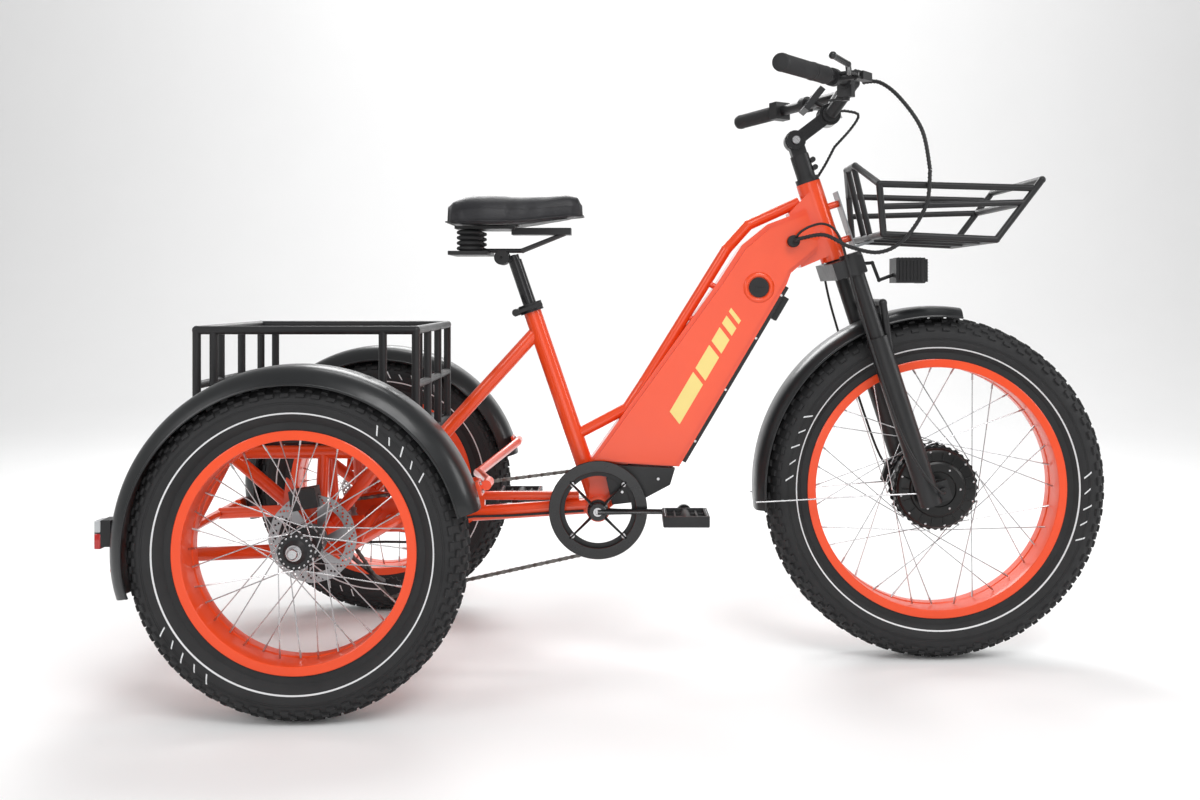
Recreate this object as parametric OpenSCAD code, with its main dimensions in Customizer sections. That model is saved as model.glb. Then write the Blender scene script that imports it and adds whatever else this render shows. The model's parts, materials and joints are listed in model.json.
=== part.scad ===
// Electric cargo tricycle: one 24 inch motor wheel in front, two 20 inch wheels behind.
// X forward, Y to the rider's left, Z up. The ground is Z = 0.

/* [Overall] */
// Distance between the front and rear axles
wheelbase = 1188; // [1000:1:1450]
// Distance between the middles of the two rear tyres
rear_track = 700; // [600:1:860]
// Crank axle ahead of the rear axles
rear_centre = 509; // [460:1:620]
// Height of the crank axle
bb_height = 305; // [280:1:360]

/* [Wheels] */
// Outer diameter of the front tyre
front_tire_d = 690; // [620:1:740]
// Outer diameter of the front rim
front_rim_d = 520; // [480:1:560]
// Outer diameter of a rear tyre
rear_tire_d = 590; // [540:1:640]
// Outer diameter of a rear rim
rear_rim_d = 418; // [380:1:460]
// Width of the tyres
tire_w = 100; // [85:1:106]
// Width of the rims
rim_w = 80; // [60:1:84]
// Height of a rim's side lip
rim_lip = 17; // [14:1:22]
// Spokes in each wheel
spoke_count = 36; // [24:4:36]
// Diameter of a spoke
spoke_d = 2.2; // [1.8:0.1:2.6]

/* [Fork and steering] */
// Angle between the steering axis and the ground
head_angle = 72; // [68:0.5:74]
// Length of the head tube
head_len = 165; // [130:1:200]
// Front axle ahead of the steering axis
fork_offset = 50; // [40:1:60]
// Front axle below the head tube, along the steering axis
fork_len = 499; // [490:1:540]
// Distance between the middles of the fork legs
leg_gap = 156; // [152:1:190]
// Diameter of the upper fork tubes
stanchion_d = 32; // [26:1:36]
// Diameter of the lower fork legs
lower_d = 44; // [40:1:48]
// Diameter of the steerer
steerer_d = 28.6; // [25:0.1:30]

/* [Cockpit] */
// Width of the handlebar over the grips
bar_w = 704; // [600:1:780]
// Diameter of the handlebar where the grips sit
bar_d = 22.2; // [19:0.1:25.4]
// Diameter of the handlebar in the stem clamp
clamp_d = 31.8; // [26:0.1:35]
// Backward sweep of the handlebar ends
bar_sweep = 33; // [15:1:45]
// Length of the tilting stem arm
stem_len = 86; // [60:1:120]
// Length of a grip
grip_len = 128; // [90:1:140]

/* [Saddle] */
// Length of the seat tube above the crank axle
seat_tube_len = 430; // [360:1:480]
// Diameter of the seat post
post_d = 27.2; // [25:0.1:31.6]
// Height of the post's top above the seat tube
post_show = 96; // [40:1:150]
// Length of the saddle
saddle_len = 272; // [240:1:300]
// Width of the saddle
saddle_w = 226; // [180:1:250]

/* [Drive] */
// Length of a crank arm
crank_len = 170; // [150:1:175]
// Pitch radius of the chain on the chainring
ring_r = 85; // [70:1:92]
// Pitch radius of the chain on the rear sprocket
sprocket_r = 28; // [24:1:34]
// Side offset of the chain from the middle
chain_y = -45; // [-52:1:-42]

/* [Baskets] */
// Length of the rear basket
basket_len = 410; // [340:1:460]
// Width of the rear basket
basket_w = 380; // [300:1:420]
// Height of the rear basket's top rail above its floor
basket_h = 214; // [150:1:260]
// Diameter of the rear basket's tubes
basket_d = 16; // [12:1:20]
// Length of the front basket at its top
front_basket_len = 310; // [250:1:360]
// Width of the front basket
front_basket_w = 300; // [240:1:340]
// Diameter of the front basket's tubes
front_basket_d = 13; // [10:1:16]

/* [Hidden] */

$fn = 48;
orange = "orangered";
black = [0.1, 0.1, 0.11];
steel = "silver";

// Clearances
run_gap = 0.05;   // running fit, on the radius
seat_gap = 0.3;   // pieces that lie on each other
bead = 0.8;       // weld beads stand proud of their tubes

// Axle places
front_r = front_tire_d / 2;
rear_r = rear_tire_d / 2;
front_axle = [wheelbase / 2 + 2.5, 0, front_r];
rear_axle = [2.5 - wheelbase / 2, 0, rear_r];
bb = [rear_axle.x + rear_centre, 0, bb_height];
wheel_y = rear_track / 2;

// Steering axis: lean is its angle from the vertical
lean = 90 - head_angle;
head_base = front_axle + [-fork_offset * cos(lean) - fork_len * sin(lean), 0,
    fork_len * cos(lean) - fork_offset * sin(lean)];
function head_point(p) = head_base + [p.x * cos(lean) - p.z * sin(lean), p.y,
    p.x * sin(lean) + p.z * cos(lean)];
leg_x = 21;
leg_y = leg_gap / 2;
crown_low = -38;
crown_high = -4;
stem_pivot_z = head_len + 89;
stem_pivot = head_point([0, 0, stem_pivot_z]);

// Stem arm and handlebar
stem_rise = 37;
bar_mid = stem_pivot + [stem_len * cos(stem_rise), 0, stem_len * sin(stem_rise)];
bar_bend = bar_mid + [36, 75, 53];
bar_end_len = (bar_w / 2 - bar_bend.y) / cos(bar_sweep);
bar_drop = 2.4;

// Seat tube: seat_lean is its angle from the vertical
seat_lean = 18.9;
seat_tube_d = 36;
function seat_point(x, z) = bb + [x * cos(seat_lean) - z * sin(seat_lean), 0,
    x * sin(seat_lean) + z * cos(seat_lean)];
saddle_pivot = seat_point(-22, seat_tube_len + post_show + 14);

// Rear frame
rail_y = basket_w / 2;
rail_z = rear_r + 145;
rail_d = 25;
axle_tube_in = 90;
axle_tube_out = wheel_y - 105;
axle_tube_d = 44;
shaft_d = 17;
bearing_d = 36;
bearing_w = 12;
bar_out = wheel_y - 38;
rear_bar = rear_axle + [-337, 0, -47];
front_bar = rear_axle + [317.7, 0, 103];
bar_stub_d = 18;
front_bar_r = norm(front_bar - rear_axle);
rear_bar_r = norm(rear_bar - rear_axle);
link_x = rear_axle.x + 121;
link_z = rear_r - 15;
tongue_w = 37;
rear_cross_x = rear_axle.x + 166;
stay_eye = [rear_cross_x + 18, 0, rail_z];
basket_front = rear_axle.x + 171.5;
basket_back = basket_front - basket_len;
basket_floor_z = rail_z + rail_d / 2 + bead / 2 + seat_gap;

// Chain pulleys of the derailleur, [x, z]
guide_pulley = [rear_axle.x - 2, rear_r - 59];
tension_pulley = [rear_axle.x + 98, rear_r - 143];
pulley_r = 21;

// Battery bay along the lower edge of the down tube
down_low = bb + [162, 0, 84];
down_high = head_base + [-99, 0, -49];
down_dir = (down_high - down_low) / norm(down_high - down_low);
down_len = norm(down_high - down_low);
down_angle = atan2(down_dir.z, down_dir.x);
down_w = 86;
bay_w = 66;
foot_w = 40;
cover_y = 40;
bay_depth = 76;
bay_start = 12;
bay_len = down_len - 16;

// Wheels
rim_wall = 3;
flange_r = 31;
hub_half = 30;
rotor_r = 80;
rotor_y = 80;
rotor_t = 2;
motor_r = 86;
motor_half = 40;
front_rotor_y = 47;
fender_w = 118;
fender_wall = 2.5;
front_fender_r = front_r + 21;
rear_fender_r = rear_r + 25;
light_y = wheel_y;

// ---------- shared shapes ----------

// Straight bar from p to q
module rod(p, q, d) {
    v = q - p;
    translate(p) rotate([0, acos(v.z / norm(v)), atan2(v.y, v.x)]) cylinder(h = norm(v), d = d);
}

// Bars through a list of points, with a weld bead at each inner corner
module pipe(points, d) {
    for (i = [0 : len(points) - 2]) rod(points[i], points[i + 1], d);
    for (i = [1 : 1 : len(points) - 2]) translate(points[i]) sphere(d = d + bead);
}

// Closed loop of bars
module loop(points, d) {
    pipe(concat(points, [points[0]]), d);
    translate(points[0]) sphere(d = d + bead);
}

// Flat plate on a fender's outer face at angle a, out to radius r
module tip_plate(a, r) {
    translate([rear_axle.x, bar_out - 18, rear_r]) rotate([0, -a, 0])
        translate([rear_fender_r + 0.4, 0, -13]) cube([r - rear_fender_r - 0.4, 40, 26]);
}

// Both sides of the middle plane
module both_sides() {
    children();
    mirror([0, 1, 0]) children();
}

// Turns a shape's Z axis to +Y and stands it at p
module across(p) {
    translate(p) rotate([-90, 0, 0]) children();
}

// Plate in the XZ plane from outline points [x, z], between y0 and y1
module side_plate(points, y0, y1) {
    translate([0, y1, 0]) rotate([90, 0, 0]) linear_extrude(y1 - y0) polygon(points);
}

// Flattens points to [x, z] pairs
function flat(points) = [for (p = points) [p.x, p.z]];

module disc(r, h) {
    translate([0, 0, -h / 2]) cylinder(h = h, r = r, $fn = 96);
}

module ring(r, bore, h) {
    difference() {
        disc(r, h);
        disc(bore, h + 2);
    }
}

// Frame of the steering axis: Z runs up the axis, X forward
module at_head() {
    translate(head_base) rotate([0, -lean, 0]) children();
}

// Frame of the left bar end: Z runs out along the bar, X forward of it, Y down
module at_bar() {
    translate(bar_bend) rotate([0, 0, bar_sweep]) rotate([-90 - bar_drop, 0, 0]) children();
}

// Frame of the seat tube: Z runs up the tube
module at_seat() {
    translate(bb) rotate([0, -seat_lean, 0]) children();
}

// Frame along the down tube: X runs up the tube, Z into it from its lower edge
module at_down() {
    translate(down_low) rotate([0, -down_angle, 0]) children();
}

// Rounds a route through hand-set points
function curve_point(a, b, c, d, t) = 0.5 * (2 * b + (c - a) * t
    + (2 * a - 5 * b + 4 * c - d) * t * t + (3 * b - a - 3 * c + d) * t * t * t);
function route(p, steps) = [for (i = [0 : len(p) - 2]) for (k = [0 : steps - 1])
    curve_point(p[max(i - 1, 0)], p[i], p[i + 1], p[min(i + 2, len(p) - 1)], k / steps),
    p[len(p) - 1]];
function unit(v) = v / norm(v);

// Round tube swept along a route
module hose(points, d, steps = 3, sides = 8, side_axis = [0, 1, 0]) {
    path = route(points, steps);
    last = len(path) - 1;
    rings = [for (i = [0 : last])
        let (dir = unit(path[min(i + 1, last)] - path[max(i - 1, 0)]),
             u = unit(cross(dir, side_axis)), v = cross(dir, u))
        for (k = [0 : sides - 1])
            path[i] + d / 2 * (cos(360 * k / sides) * u + sin(360 * k / sides) * v)];
    walls = [for (i = [0 : last - 1]) for (k = [0 : sides - 1])
        let (a = i * sides + k, b = i * sides + (k + 1) % sides)
        each [[a, b, b + sides], [a, b + sides, a + sides]]];
    near_end = [for (k = [sides - 1 : -1 : 0]) k];
    far_end = [for (k = [0 : sides - 1]) last * sides + k];
    polyhedron(rings, concat(walls, [near_end, far_end]), convexity = 6);
}

// ---------- wheels, drawn round the Z axis ----------

module rim_body(r) {
    color(orange) rotate_extrude($fn = 120) polygon([
        [r - rim_lip, -rim_w / 2], [r, -rim_w / 2], [r, rim_wall - rim_w / 2],
        [r - rim_lip + rim_wall, rim_wall - rim_w / 2],
        [r - rim_lip + rim_wall, rim_w / 2 - rim_wall],
        [r, rim_w / 2 - rim_wall], [r, rim_w / 2], [r - rim_lip, rim_w / 2]]);
}

// Section of a tyre: beads between the rim's lips and a round casing outside
module tire_body(rim_r, r) {
    bead_y = rim_w / 2 - rim_wall - seat_gap;
    foot = rim_r - rim_lip + rim_wall + seat_gap;
    mid = (rim_r + r) / 2;
    wall = 7;
    start = asin(min(bead_y / (tire_w / 2), 1));
    inner_start = asin(min((bead_y - wall) / (tire_w / 2 - wall), 1));
    outer = [for (i = [0 : 14]) let (a = start + (360 - 2 * start) * i / 14)
        [mid - (r - mid) * cos(a), tire_w / 2 * sin(a)]];
    inner = [for (i = [14 : -1 : 0]) let (a = inner_start + (360 - 2 * inner_start) * i / 14)
        [mid - (r - mid - wall) * cos(a), (tire_w / 2 - wall) * sin(a)]];
    color(black) rotate_extrude($fn = 120) polygon(concat(
        [[foot, bead_y]], outer, [[foot, -bead_y], [foot, wall - bead_y]], inner,
        [[foot, bead_y - wall]]));
}

// Spokes laced from two hub flanges to the rim's inner face
module spoke_set(hub_r, hub_y, rim_r) {
    turn = 62;
    head_r = hub_r + spoke_d / 2 + seat_gap;
    end_r = rim_r - rim_lip - 0.5;
    color(steel) for (i = [0 : spoke_count - 1]) {
        side = i % 2 == 0 ? 1 : -1;
        lean_way = floor(i / 2) % 2 == 0 ? 1 : -1;
        end_a = 360 * i / spoke_count;
        head_a = end_a + lean_way * turn;
        out = hub_y + 3.2 * lean_way;
        rod([head_r * cos(head_a), head_r * sin(head_a), side * out],
            [end_r * cos(end_a), end_r * sin(end_a), side * 5], spoke_d, $fn = 16);
    }
}

// Brake rotor with arms, bolted at its middle
module rotor() {
    ring(rotor_r, rotor_r - 16, rotor_t);
    ring(24, 17, rotor_t);
    for (a = [0 : 60 : 300]) rotate(a) translate([22, -4, -rotor_t / 2]) cube([rotor_r - 36, 8, rotor_t]);
}

// Half-round channel over a tyre, from angle a0 to a1 measured from straight ahead
module fender_shell(r, depth, a0, a1) {
    rotate([90, 0, 0]) rotate_extrude(angle = a1 - a0, start = a0, $fn = 144) polygon([
        [r - depth, -fender_w / 2], [r - 9, -fender_w / 2], [r, 12 - fender_w / 2],
        [r, fender_w / 2 - 12], [r - 9, fender_w / 2], [r - depth, fender_w / 2],
        [r - depth, fender_w / 2 - fender_wall], [r - 9 - fender_wall / 2, fender_w / 2 - fender_wall],
        [r - fender_wall, fender_w / 2 - 12 - fender_wall / 2],
        [r - fender_wall, 12 + fender_wall / 2 - fender_w / 2],
        [r - 9 - fender_wall / 2, fender_wall - fender_w / 2],
        [r - depth, fender_wall - fender_w / 2]]);
}

// ---------- frame ----------

module main_frame() {
    color(orange) difference() {
        union() {
            // Head tube
            at_head() cylinder(h = head_len, d = 50);
            // Down tube, a deep box that narrows towards the head
            for (half = [down_w / 2, down_w / 2 - 8]) let (inset = half == down_w / 2 ? 9 : 0)
                side_plate(flat([
                    bb + [32 - 50 + inset * 1.2, 0, 94 + inset * 0.4],
                    head_base + [-237 + inset, 0, -45 - inset * 0.4],
                    head_base + [-189 + inset * 0.7, 0, 29 - inset],
                    head_base + [-137 + inset * 0.4, 0, 71 - inset],
                    head_base + [-60, 0, 100 - inset],
                    head_base + [-36, 0, 20 + inset],
                    head_base + [-91 - inset * 0.5, 0, -27 + inset * 0.6],
                    down_high - [inset * 0.9, 0, -inset * 0.4],
                    down_low - [inset * 0.9, 0, -inset * 0.4]]), -half, half);
            // Nose that carries the down tube into the head tube
            side_plate(flat([head_point([-70, 0, 6]), head_point([-60, 0, 118]),
                head_point([0, 0, 150]), head_point([0, 0, 12])]), -24, 24);
            // Upper tube
            pipe([head_base + [-70, 0, 118], head_base + [-173, 0, 71], head_base + [-217, 0, 22],
                bb + [92.7, 0, 250.8], bb + [58, 0, 198], seat_point(0, 150)], 22);
            // Webs between the upper tube and the down tube
            for (t = [0.25, 0.5, 0.75]) let (p = head_base + [-217, 0, 22],
                q = bb + [92.7, 0, 250.8], m = p + (q - p) * t) rod(m, m + [22, 0, -10], 12);
            // Seat tube
            at_seat() cylinder(h = seat_tube_len, d = seat_tube_d);
            // Crank shell and the foot that joins it to the down tube
            across(bb + [0, -50, 0]) cylinder(h = 100, d = 48);
            side_plate(flat([bb + [-20, 0, 10], bb + [-14, 0, 100], bb + [60, 0, 110],
                bb + [60, 0, 30], bb + [16, 0, -8]]), -foot_w / 2, foot_w / 2);
            // Seat stay down to the rear frame
            rod(seat_point(0, seat_tube_len - 52), stay_eye, 28);
            across(stay_eye + [0, -14, 0]) cylinder(h = 28, d = 34);
            // Chain stay, the thinner bar above it, and the bolted tongue
            rod(bb, [link_x, 0, link_z], 31);
            rod(bb + [-40, 0, 20], [front_bar.x - 54, 0, link_z + 45], 18);
            side_plate([[front_bar.x - 75, link_z - 12], [front_bar.x - 75, link_z + 76],
                [front_bar.x - 40, link_z + 90], [front_bar.x - 40, link_z + 10]], -9, 9);
            side_plate([[link_x - 92, link_z - 22], [link_x + 18, link_z - 20],
                [link_x + 60, link_z + 14], [link_x, link_z + 48], [link_x - 92, link_z + 26]],
                -tongue_w / 2, tongue_w / 2);
            // Bar that carries the front tips of the rear fenders
            pipe([front_bar + [0, -bar_out, 0], front_bar + [0, -bar_out + 40, 0],
                [front_bar.x - 54, 0, link_z + 91], front_bar + [0, bar_out - 40, 0],
                front_bar + [0, bar_out, 0]], bar_stub_d);
            both_sides() tip_plate(18, front_bar_r - bar_stub_d / 2 + 0.6);
            // Studs for the front basket's bracket
            for (z = [32, 106]) rod(head_point([0, 0, z]), head_point([44.7, 0, z]), 14);
        }
        // Steerer passage and bearing seats
        at_head() translate([0, 0, -1]) cylinder(h = head_len + 2, d = 36);
        at_head() for (z = [-1, head_len - 8]) translate([0, 0, z]) cylinder(h = 9, d = 42);
        // Battery bay
        at_down() translate([bay_start, -bay_w / 2, -20]) cube([bay_len, bay_w, bay_depth + 20]);
        // Seat post bore
        at_seat() translate([0, 0, 60]) cylinder(h = seat_tube_len, d = post_d + 2 * run_gap);
        // Crank shell bore
        across(bb + [0, -51, 0]) cylinder(h = 102, d = 40);
        // Bolt holes
        across(stay_eye + [0, -30, 0]) cylinder(h = 60, d = 8.4);
        for (p = link_bolts) across([p.x, -30, p.z]) cylinder(h = 60, d = 8.4);
        // Charge port pocket
        across(port_centre + [0, -down_w / 2 - 1, 0]) cylinder(h = 13, r = port_r + run_gap);
    }
}

link_bolts = [for (d = [[-72, 2], [-32, 4], [12, 18]]) [link_x + d.x, 0, link_z + d.y]];
port_r = 20;
port_centre = head_base + [-156, 0, -56];

module rear_frame() {
    plate_y = tongue_w / 2 + seat_gap;
    color(orange) difference() {
        union() {
            both_sides() {
                // Housing of the half shaft
                across([rear_axle.x, axle_tube_in, rear_r])
                    cylinder(h = axle_tube_out - axle_tube_in, d = axle_tube_d);
                // Rails under the basket
                rod([basket_back, rail_y, rail_z], [rear_cross_x, rail_y, rail_z], rail_d);
                // Post and struts from the rail to the housing
                rod([rear_axle.x, rail_y, rail_z], rear_axle + [0, axle_tube_out - 22, 0], 22);
                rod([rear_axle.x - 180, rail_y, rail_z], rear_axle + [-8, axle_tube_out - 40, 6], 24);
                rod([rear_axle.x + 120, rail_y, rail_z], rear_axle + [6, axle_tube_out - 60, 6], 24);
                // Inner post beside the sprocket
                rod([rear_axle.x - 10, axle_tube_in + 16, rail_z], rear_axle + [0, axle_tube_in + 16, 0], 20);
                // Lower side tube
                pipe([[rear_bar.x, rail_y + 20, rear_bar.z], rear_axle + [44, rail_y + 20, -30],
                    [link_x - 8, plate_y + 5.5, link_z + 8]], rail_d);
                // Cross tube to the plates
                rod([link_x - 60, plate_y + 3, link_z + 20], [link_x - 60, rail_y + 10, rear_r - 16], 24);
                // Plate bolted to the main frame's tongue
                side_plate([[link_x - 102, link_z - 24], [link_x + 22, link_z - 24],
                    [link_x + 34, link_z + 30], [link_x - 60, link_z + 50],
                    [link_x - 102, link_z + 44]], plate_y, plate_y + 6);
                rod([link_x - 60, axle_tube_in + 40, link_z + 20],
                    rear_axle + [0, axle_tube_in + 40, 0], 22);
                // Plate under the rear tip of the fender
                tip_plate(188, rear_bar_r - bar_stub_d / 2 + 0.6);
                // Ears for the seat stay
                side_plate([[rear_cross_x - 28, rail_z - 10], [stay_eye.x + 16, rail_z - 16],
                    [stay_eye.x + 16, rail_z + 12], [rear_cross_x - 28, rail_z + 11]], 14.3, 20.3);
                // Brake bracket
                side_plate([[rear_axle.x - 62, rail_z - 96], [rear_axle.x + 6, rail_z - 118],
                    [rear_axle.x + 6, rail_z - 90], [rear_axle.x - 56, rail_z - 40]],
                    axle_tube_out - 8, axle_tube_out - 2);
            }
            // Cross tubes
            for (x = [basket_back, rear_cross_x - 26, rear_axle.x - 10])
                rod([x, -rail_y, rail_z], [x, rail_y, rail_z], rail_d + bead);
            // Bar behind the wheels, its ends carry the fenders
            rod([rear_bar.x, -bar_out, rear_bar.z], [rear_bar.x, bar_out, rear_bar.z], bar_stub_d);
            // Brace from the rear cross tube down to the rear bar
            for (y = [-60, 60]) rod([basket_back, y, rail_z], [rear_bar.x, y, rear_bar.z], 16);
        }
        both_sides() {
            across([rear_axle.x, axle_tube_in - 1, rear_r])
                cylinder(h = axle_tube_out - axle_tube_in + 2, d = 30);
            for (y = [axle_tube_in - 1, axle_tube_out - bearing_w])
                across([rear_axle.x, y, rear_r]) cylinder(h = bearing_w + 1, d = bearing_d);
        }
        across(stay_eye + [0, -30, 0]) cylinder(h = 60, d = 8.4);
        for (p = link_bolts) across([p.x, -30, p.z]) cylinder(h = 60, d = 8.4);
    }
}

module battery_pack() {
    color(black) at_down() {
        translate([bay_start + 0.5, 0.5 - bay_w / 2, -8])
            cube([bay_len - 1, bay_w - 1, bay_depth + 7.5]);
        // Lock and pull at the upper end
        translate([bay_start + bay_len - 70, -14, -22]) cube([52, 28, 15]);
    }
}

module charge_port_cover() {
    color(black) across(port_centre + [0, -down_w / 2 - 3, 0]) cylinder(h = 13, r = port_r);
}

module controller_cover() {
    color(black) both_sides() side_plate(flat([bb + [28, 0, 8], bb + [16, 0, 60],
        bb + [20, 0, 88], bb + [154, 0, 81], bb + [144, 0, 48], bb + [80, 0, 14]]),
        foot_w / 2 + seat_gap, cover_y);
}

module bearings() {
    color(steel) {
        // Steering bearings
        at_head() for (z = [0, head_len - 8]) translate([0, 0, z + 3.8])
            ring(21 - 0.02, steerer_d / 2 + run_gap, 7.6, $fn = 96);
        // Crank bearings
        for (y = [-46, 34]) across(bb + [0, y, 0]) translate([0, 0, 6])
            ring(20 - 0.02, spindle_d / 2 + run_gap, 12);
        // Half shaft bearings
        both_sides() for (y = [axle_tube_in, axle_tube_out - bearing_w + 0.2])
            across([rear_axle.x, y, rear_r]) translate([0, 0, bearing_w / 2])
                ring(bearing_d / 2 - 0.02, shaft_d / 2 + run_gap, bearing_w - 0.4);
    }
}

module seat_clamp() {
    color(black) at_seat() translate([0, 0, seat_tube_len - 14]) difference() {
        union() {
            cylinder(h = 18, d = 48);
            translate([-36, -11, 2]) cube([20, 22, 14]);
        }
        translate([0, 0, -1]) cylinder(h = 15, d = seat_tube_d + 0.1);
        translate([0, 0, -1]) cylinder(h = 22, d = post_d + 2 * run_gap);
        translate([-40, -1.5, -1]) cube([30, 3, 22]);
        translate([-30, 0, 9]) rotate([90, 0, 0]) cylinder(h = 40, d = 6 + 2 * run_gap, center = true);
    }
}

module seat_clamp_lever() {
    color(black) at_seat() translate([-30, 0, seat_tube_len - 5]) {
        rotate([90, 0, 0]) cylinder(h = 44, d = 6, center = true);
        translate([0, 21.3, 0]) rotate([90, 0, 0]) cylinder(h = 10, d = 14);
        translate([0, -11.3, 0]) rotate([90, 0, 0]) cylinder(h = 18.2, d = 15);
        translate([-4, -29.5, -3.5]) cube([60, 5, 7]);
    }
}

// ---------- baskets and fenders ----------

module rear_basket() {
    x0 = basket_back;
    x1 = basket_front;
    z0 = basket_floor_z + basket_d / 2 + bead / 2;
    z1 = z0 + basket_h - basket_d / 2;
    y = basket_w / 2;
    color(black) {
        for (z = [z0, z1]) loop([[x0, -y, z], [x1, -y, z], [x1, y, z], [x0, y, z]], basket_d);
        // Uprights, three along each side and two more at each end
        both_sides() {
            for (x = [x0, x0 + 32, x1 - 62, x1]) rod([x, y, z0], [x, y, z1], basket_d - 0.6);
            for (x = [x0, x1]) rod([x, 62, z0], [x, 62, z1], basket_d - 0.6);
        }
        for (x = [x0, x1]) rod([x, -y, (z0 + z1) / 2], [x, y, (z0 + z1) / 2], basket_d - 0.8);
        // Bearers that rest on the rails of the rear frame
        for (x = [x0 + 60, x1 - 60]) rod([x, -y, z0], [x, y, z0], basket_d - 0.8);
    }
}

module rear_basket_floor() {
    board = basket_floor_z + basket_d + seat_gap;
    color([0.15, 0.15, 0.15])
        translate([basket_back + 10, -basket_w / 2 + 10, board])
            cube([basket_len - 20, basket_w - 20, 6]);
}

module front_basket() {
    d = front_basket_d;
    y = front_basket_w / 2;
    base = head_point([58, 0, 20]);
    back_low = base + [20, 0, 8];
    back_high = base + [-13, 0, 150];
    back_top = base + [12, 0, 104];
    front_low = back_low + [front_basket_len - 95, 0, -10];
    front_high = back_top + [front_basket_len, 0, 8];
    side_mid = back_low + (back_top - back_low) * 0.55;
    front_mid = front_low + (front_high - front_low) * 0.62;
    color(black) {
        both_sides() {
            shift = [0, y, 0];
            pipe([back_low + shift, front_low + shift, front_high + shift], d);
            pipe([back_low + shift, back_top + shift], d);
            rod(back_top + shift, front_high + shift - [18, 0, 16], d);
            rod(side_mid + shift, front_mid + shift, d - 1);
            for (p = [back_low, front_high, back_top]) translate(p + shift) sphere(d = d + bead);
            // Raised back hoop
            pipe([back_top + shift, back_high + [0, 44, 0], back_high], d);
            rod(back_high + [0, 30, 0], back_low + [0, 30, 0], d - 1);
        }
        for (p = [back_low, front_low, front_high, front_mid])
            rod(p - [0, y, 0], p + [0, y, 0], d + 0.4);
        rod(back_high - [0, 10, 0], back_high + [0, 10, 0], d + 0.4);
        both_sides() rod(back_low + [0, 60, 0], front_low + [0, 60, 0], d - 2);
    }
}

module basket_bracket() {
    color("dimgray") {
        at_head() difference() {
            translate([45, -22, 14]) cube([3, 44, 116]);
            for (z = [44, 100]) for (y = [-12, 12]) translate([40, y, z])
                rotate([0, 90, 0]) cylinder(h = 12, d = 5.5);
        }
        // Shelf under the basket's rear rail
        at_head() translate([45, -22, 10]) cube([41, 44, 4.4]);
    }
}

module rear_fender(side) {
    color(black) translate([rear_axle.x, side * wheel_y, rear_r])
        fender_shell(rear_fender_r, 32, 12.5, 195);
}

module right_rear_fender() {
    rear_fender(-1);
}

module left_rear_fender() {
    rear_fender(1);
}

module tail_light() {
    back = rear_axle.x - rear_fender_r;
    color([0.12, 0.02, 0.02]) {
        translate([back - 18, -light_y - 17, rear_r + 6]) cube([17.4, 34, 46]);
        translate([back - 29.5, -light_y - 15, rear_r + 2]) cube([11, 30, 48]);
    }
}

// ---------- brakes ----------

// Caliper at angle a, from low to high: the rotor plane is Z = 0, the axle is the origin
module caliper(a, low, high) {
    rotate(a) difference() {
        translate([rotor_r - 24, -24, low]) cube([36, 48, high - low]);
        translate([0, 0, -1.8]) cylinder(h = 3.6, r = rotor_r + 1.5, $fn = 96);
    }
}

module rear_calipers() {
    color(black) both_sides() across([rear_axle.x, wheel_y - rotor_y, rear_r]) caliper(-100, -17, 17);
    color(black) both_sides() translate([rear_axle.x - 36, axle_tube_out - 2 + seat_gap,
        rear_r + 55]) cube([26, wheel_y - rotor_y - 17.2 - axle_tube_out + 2, 26]);
}

module front_caliper() {
    color(black) across(front_axle + [0, front_rotor_y, 0])
        caliper(-163, -6.2, leg_y - lower_d / 2 - front_rotor_y - seat_gap);
}

// ---------- drive ----------

spindle_d = 17;
crank_y = 66;
guard_r = 98;

function arc_points(c, r, a0, a1, n) = [for (i = [0 : n])
    let (a = a0 + (a1 - a0) * i / n) c + r * [cos(a), sin(a)]];

// One loop of bars through the middles of the links
module chain() {
    h = 8.4;
    w = 7;
    path = concat(
        arc_points([bb.x, bb.z], ring_r, -98, 98, 26),
        arc_points([rear_axle.x, rear_r], sprocket_r, 92, 300, 14),
        [guide_pulley + [12, 0]],
        arc_points(tension_pulley, pulley_r, 190, 280, 5));
    count = len(path);
    sides = [for (i = [0 : count - 1])
        let (v = path[(i + 1) % count] - path[(i + count - 1) % count])
        h / 2 * [v.y, -v.x] / norm(v)];
    color(steel) translate([0, chain_y + w / 2, 0]) rotate([90, 0, 0])
        linear_extrude(w) difference() {
            polygon([for (i = [0 : count - 1]) path[i] + sides[i]]);
            polygon([for (i = [0 : count - 1]) path[i] - sides[i]]);
        }
}

module cassette() {
    color(steel) across([rear_axle.x, chain_y, rear_r]) difference() {
        union() {
            disc(sprocket_r - 4.7, 4);
            translate([0, 0, -12]) cylinder(h = 24, r = 15);
        }
        disc(shaft_d / 2 + run_gap, 40);
    }
}

module derailleur_body() {
    p = guide_pulley;
    color(black) {
        // Hanger, its foot on the right half shaft's housing, and the cage pivot
        translate([p.x - 7, chain_y - 30, p.y - 6]) cube([14, 12, 52]);
        rod([p.x, chain_y - 24, p.y + 40.5],
            [p.x, seat_gap - axle_tube_in, p.y + 40.5], 12);
        across([p.x, chain_y - 19, p.y]) cylinder(h = 13.5, d = 8);
    }
}

module derailleur_cage() {
    p = guide_pulley;
    q = tension_pulley;
    color(black) {
        across([p.x, chain_y - 7.5, p.y]) ring(13, 4 + run_gap, 3);
        flat_bar(p + [9, -7.6], q, chain_y - 9, 3);
        // Lower pulley on its bolt
        across([q.x, chain_y - 9, q.y]) cylinder(h = 12, d = 6);
        across([q.x, chain_y, q.y]) difference() {
            disc(pulley_r - 4.6, 2.4);
            disc(3 + run_gap, 4);
        }
    }
}

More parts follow.
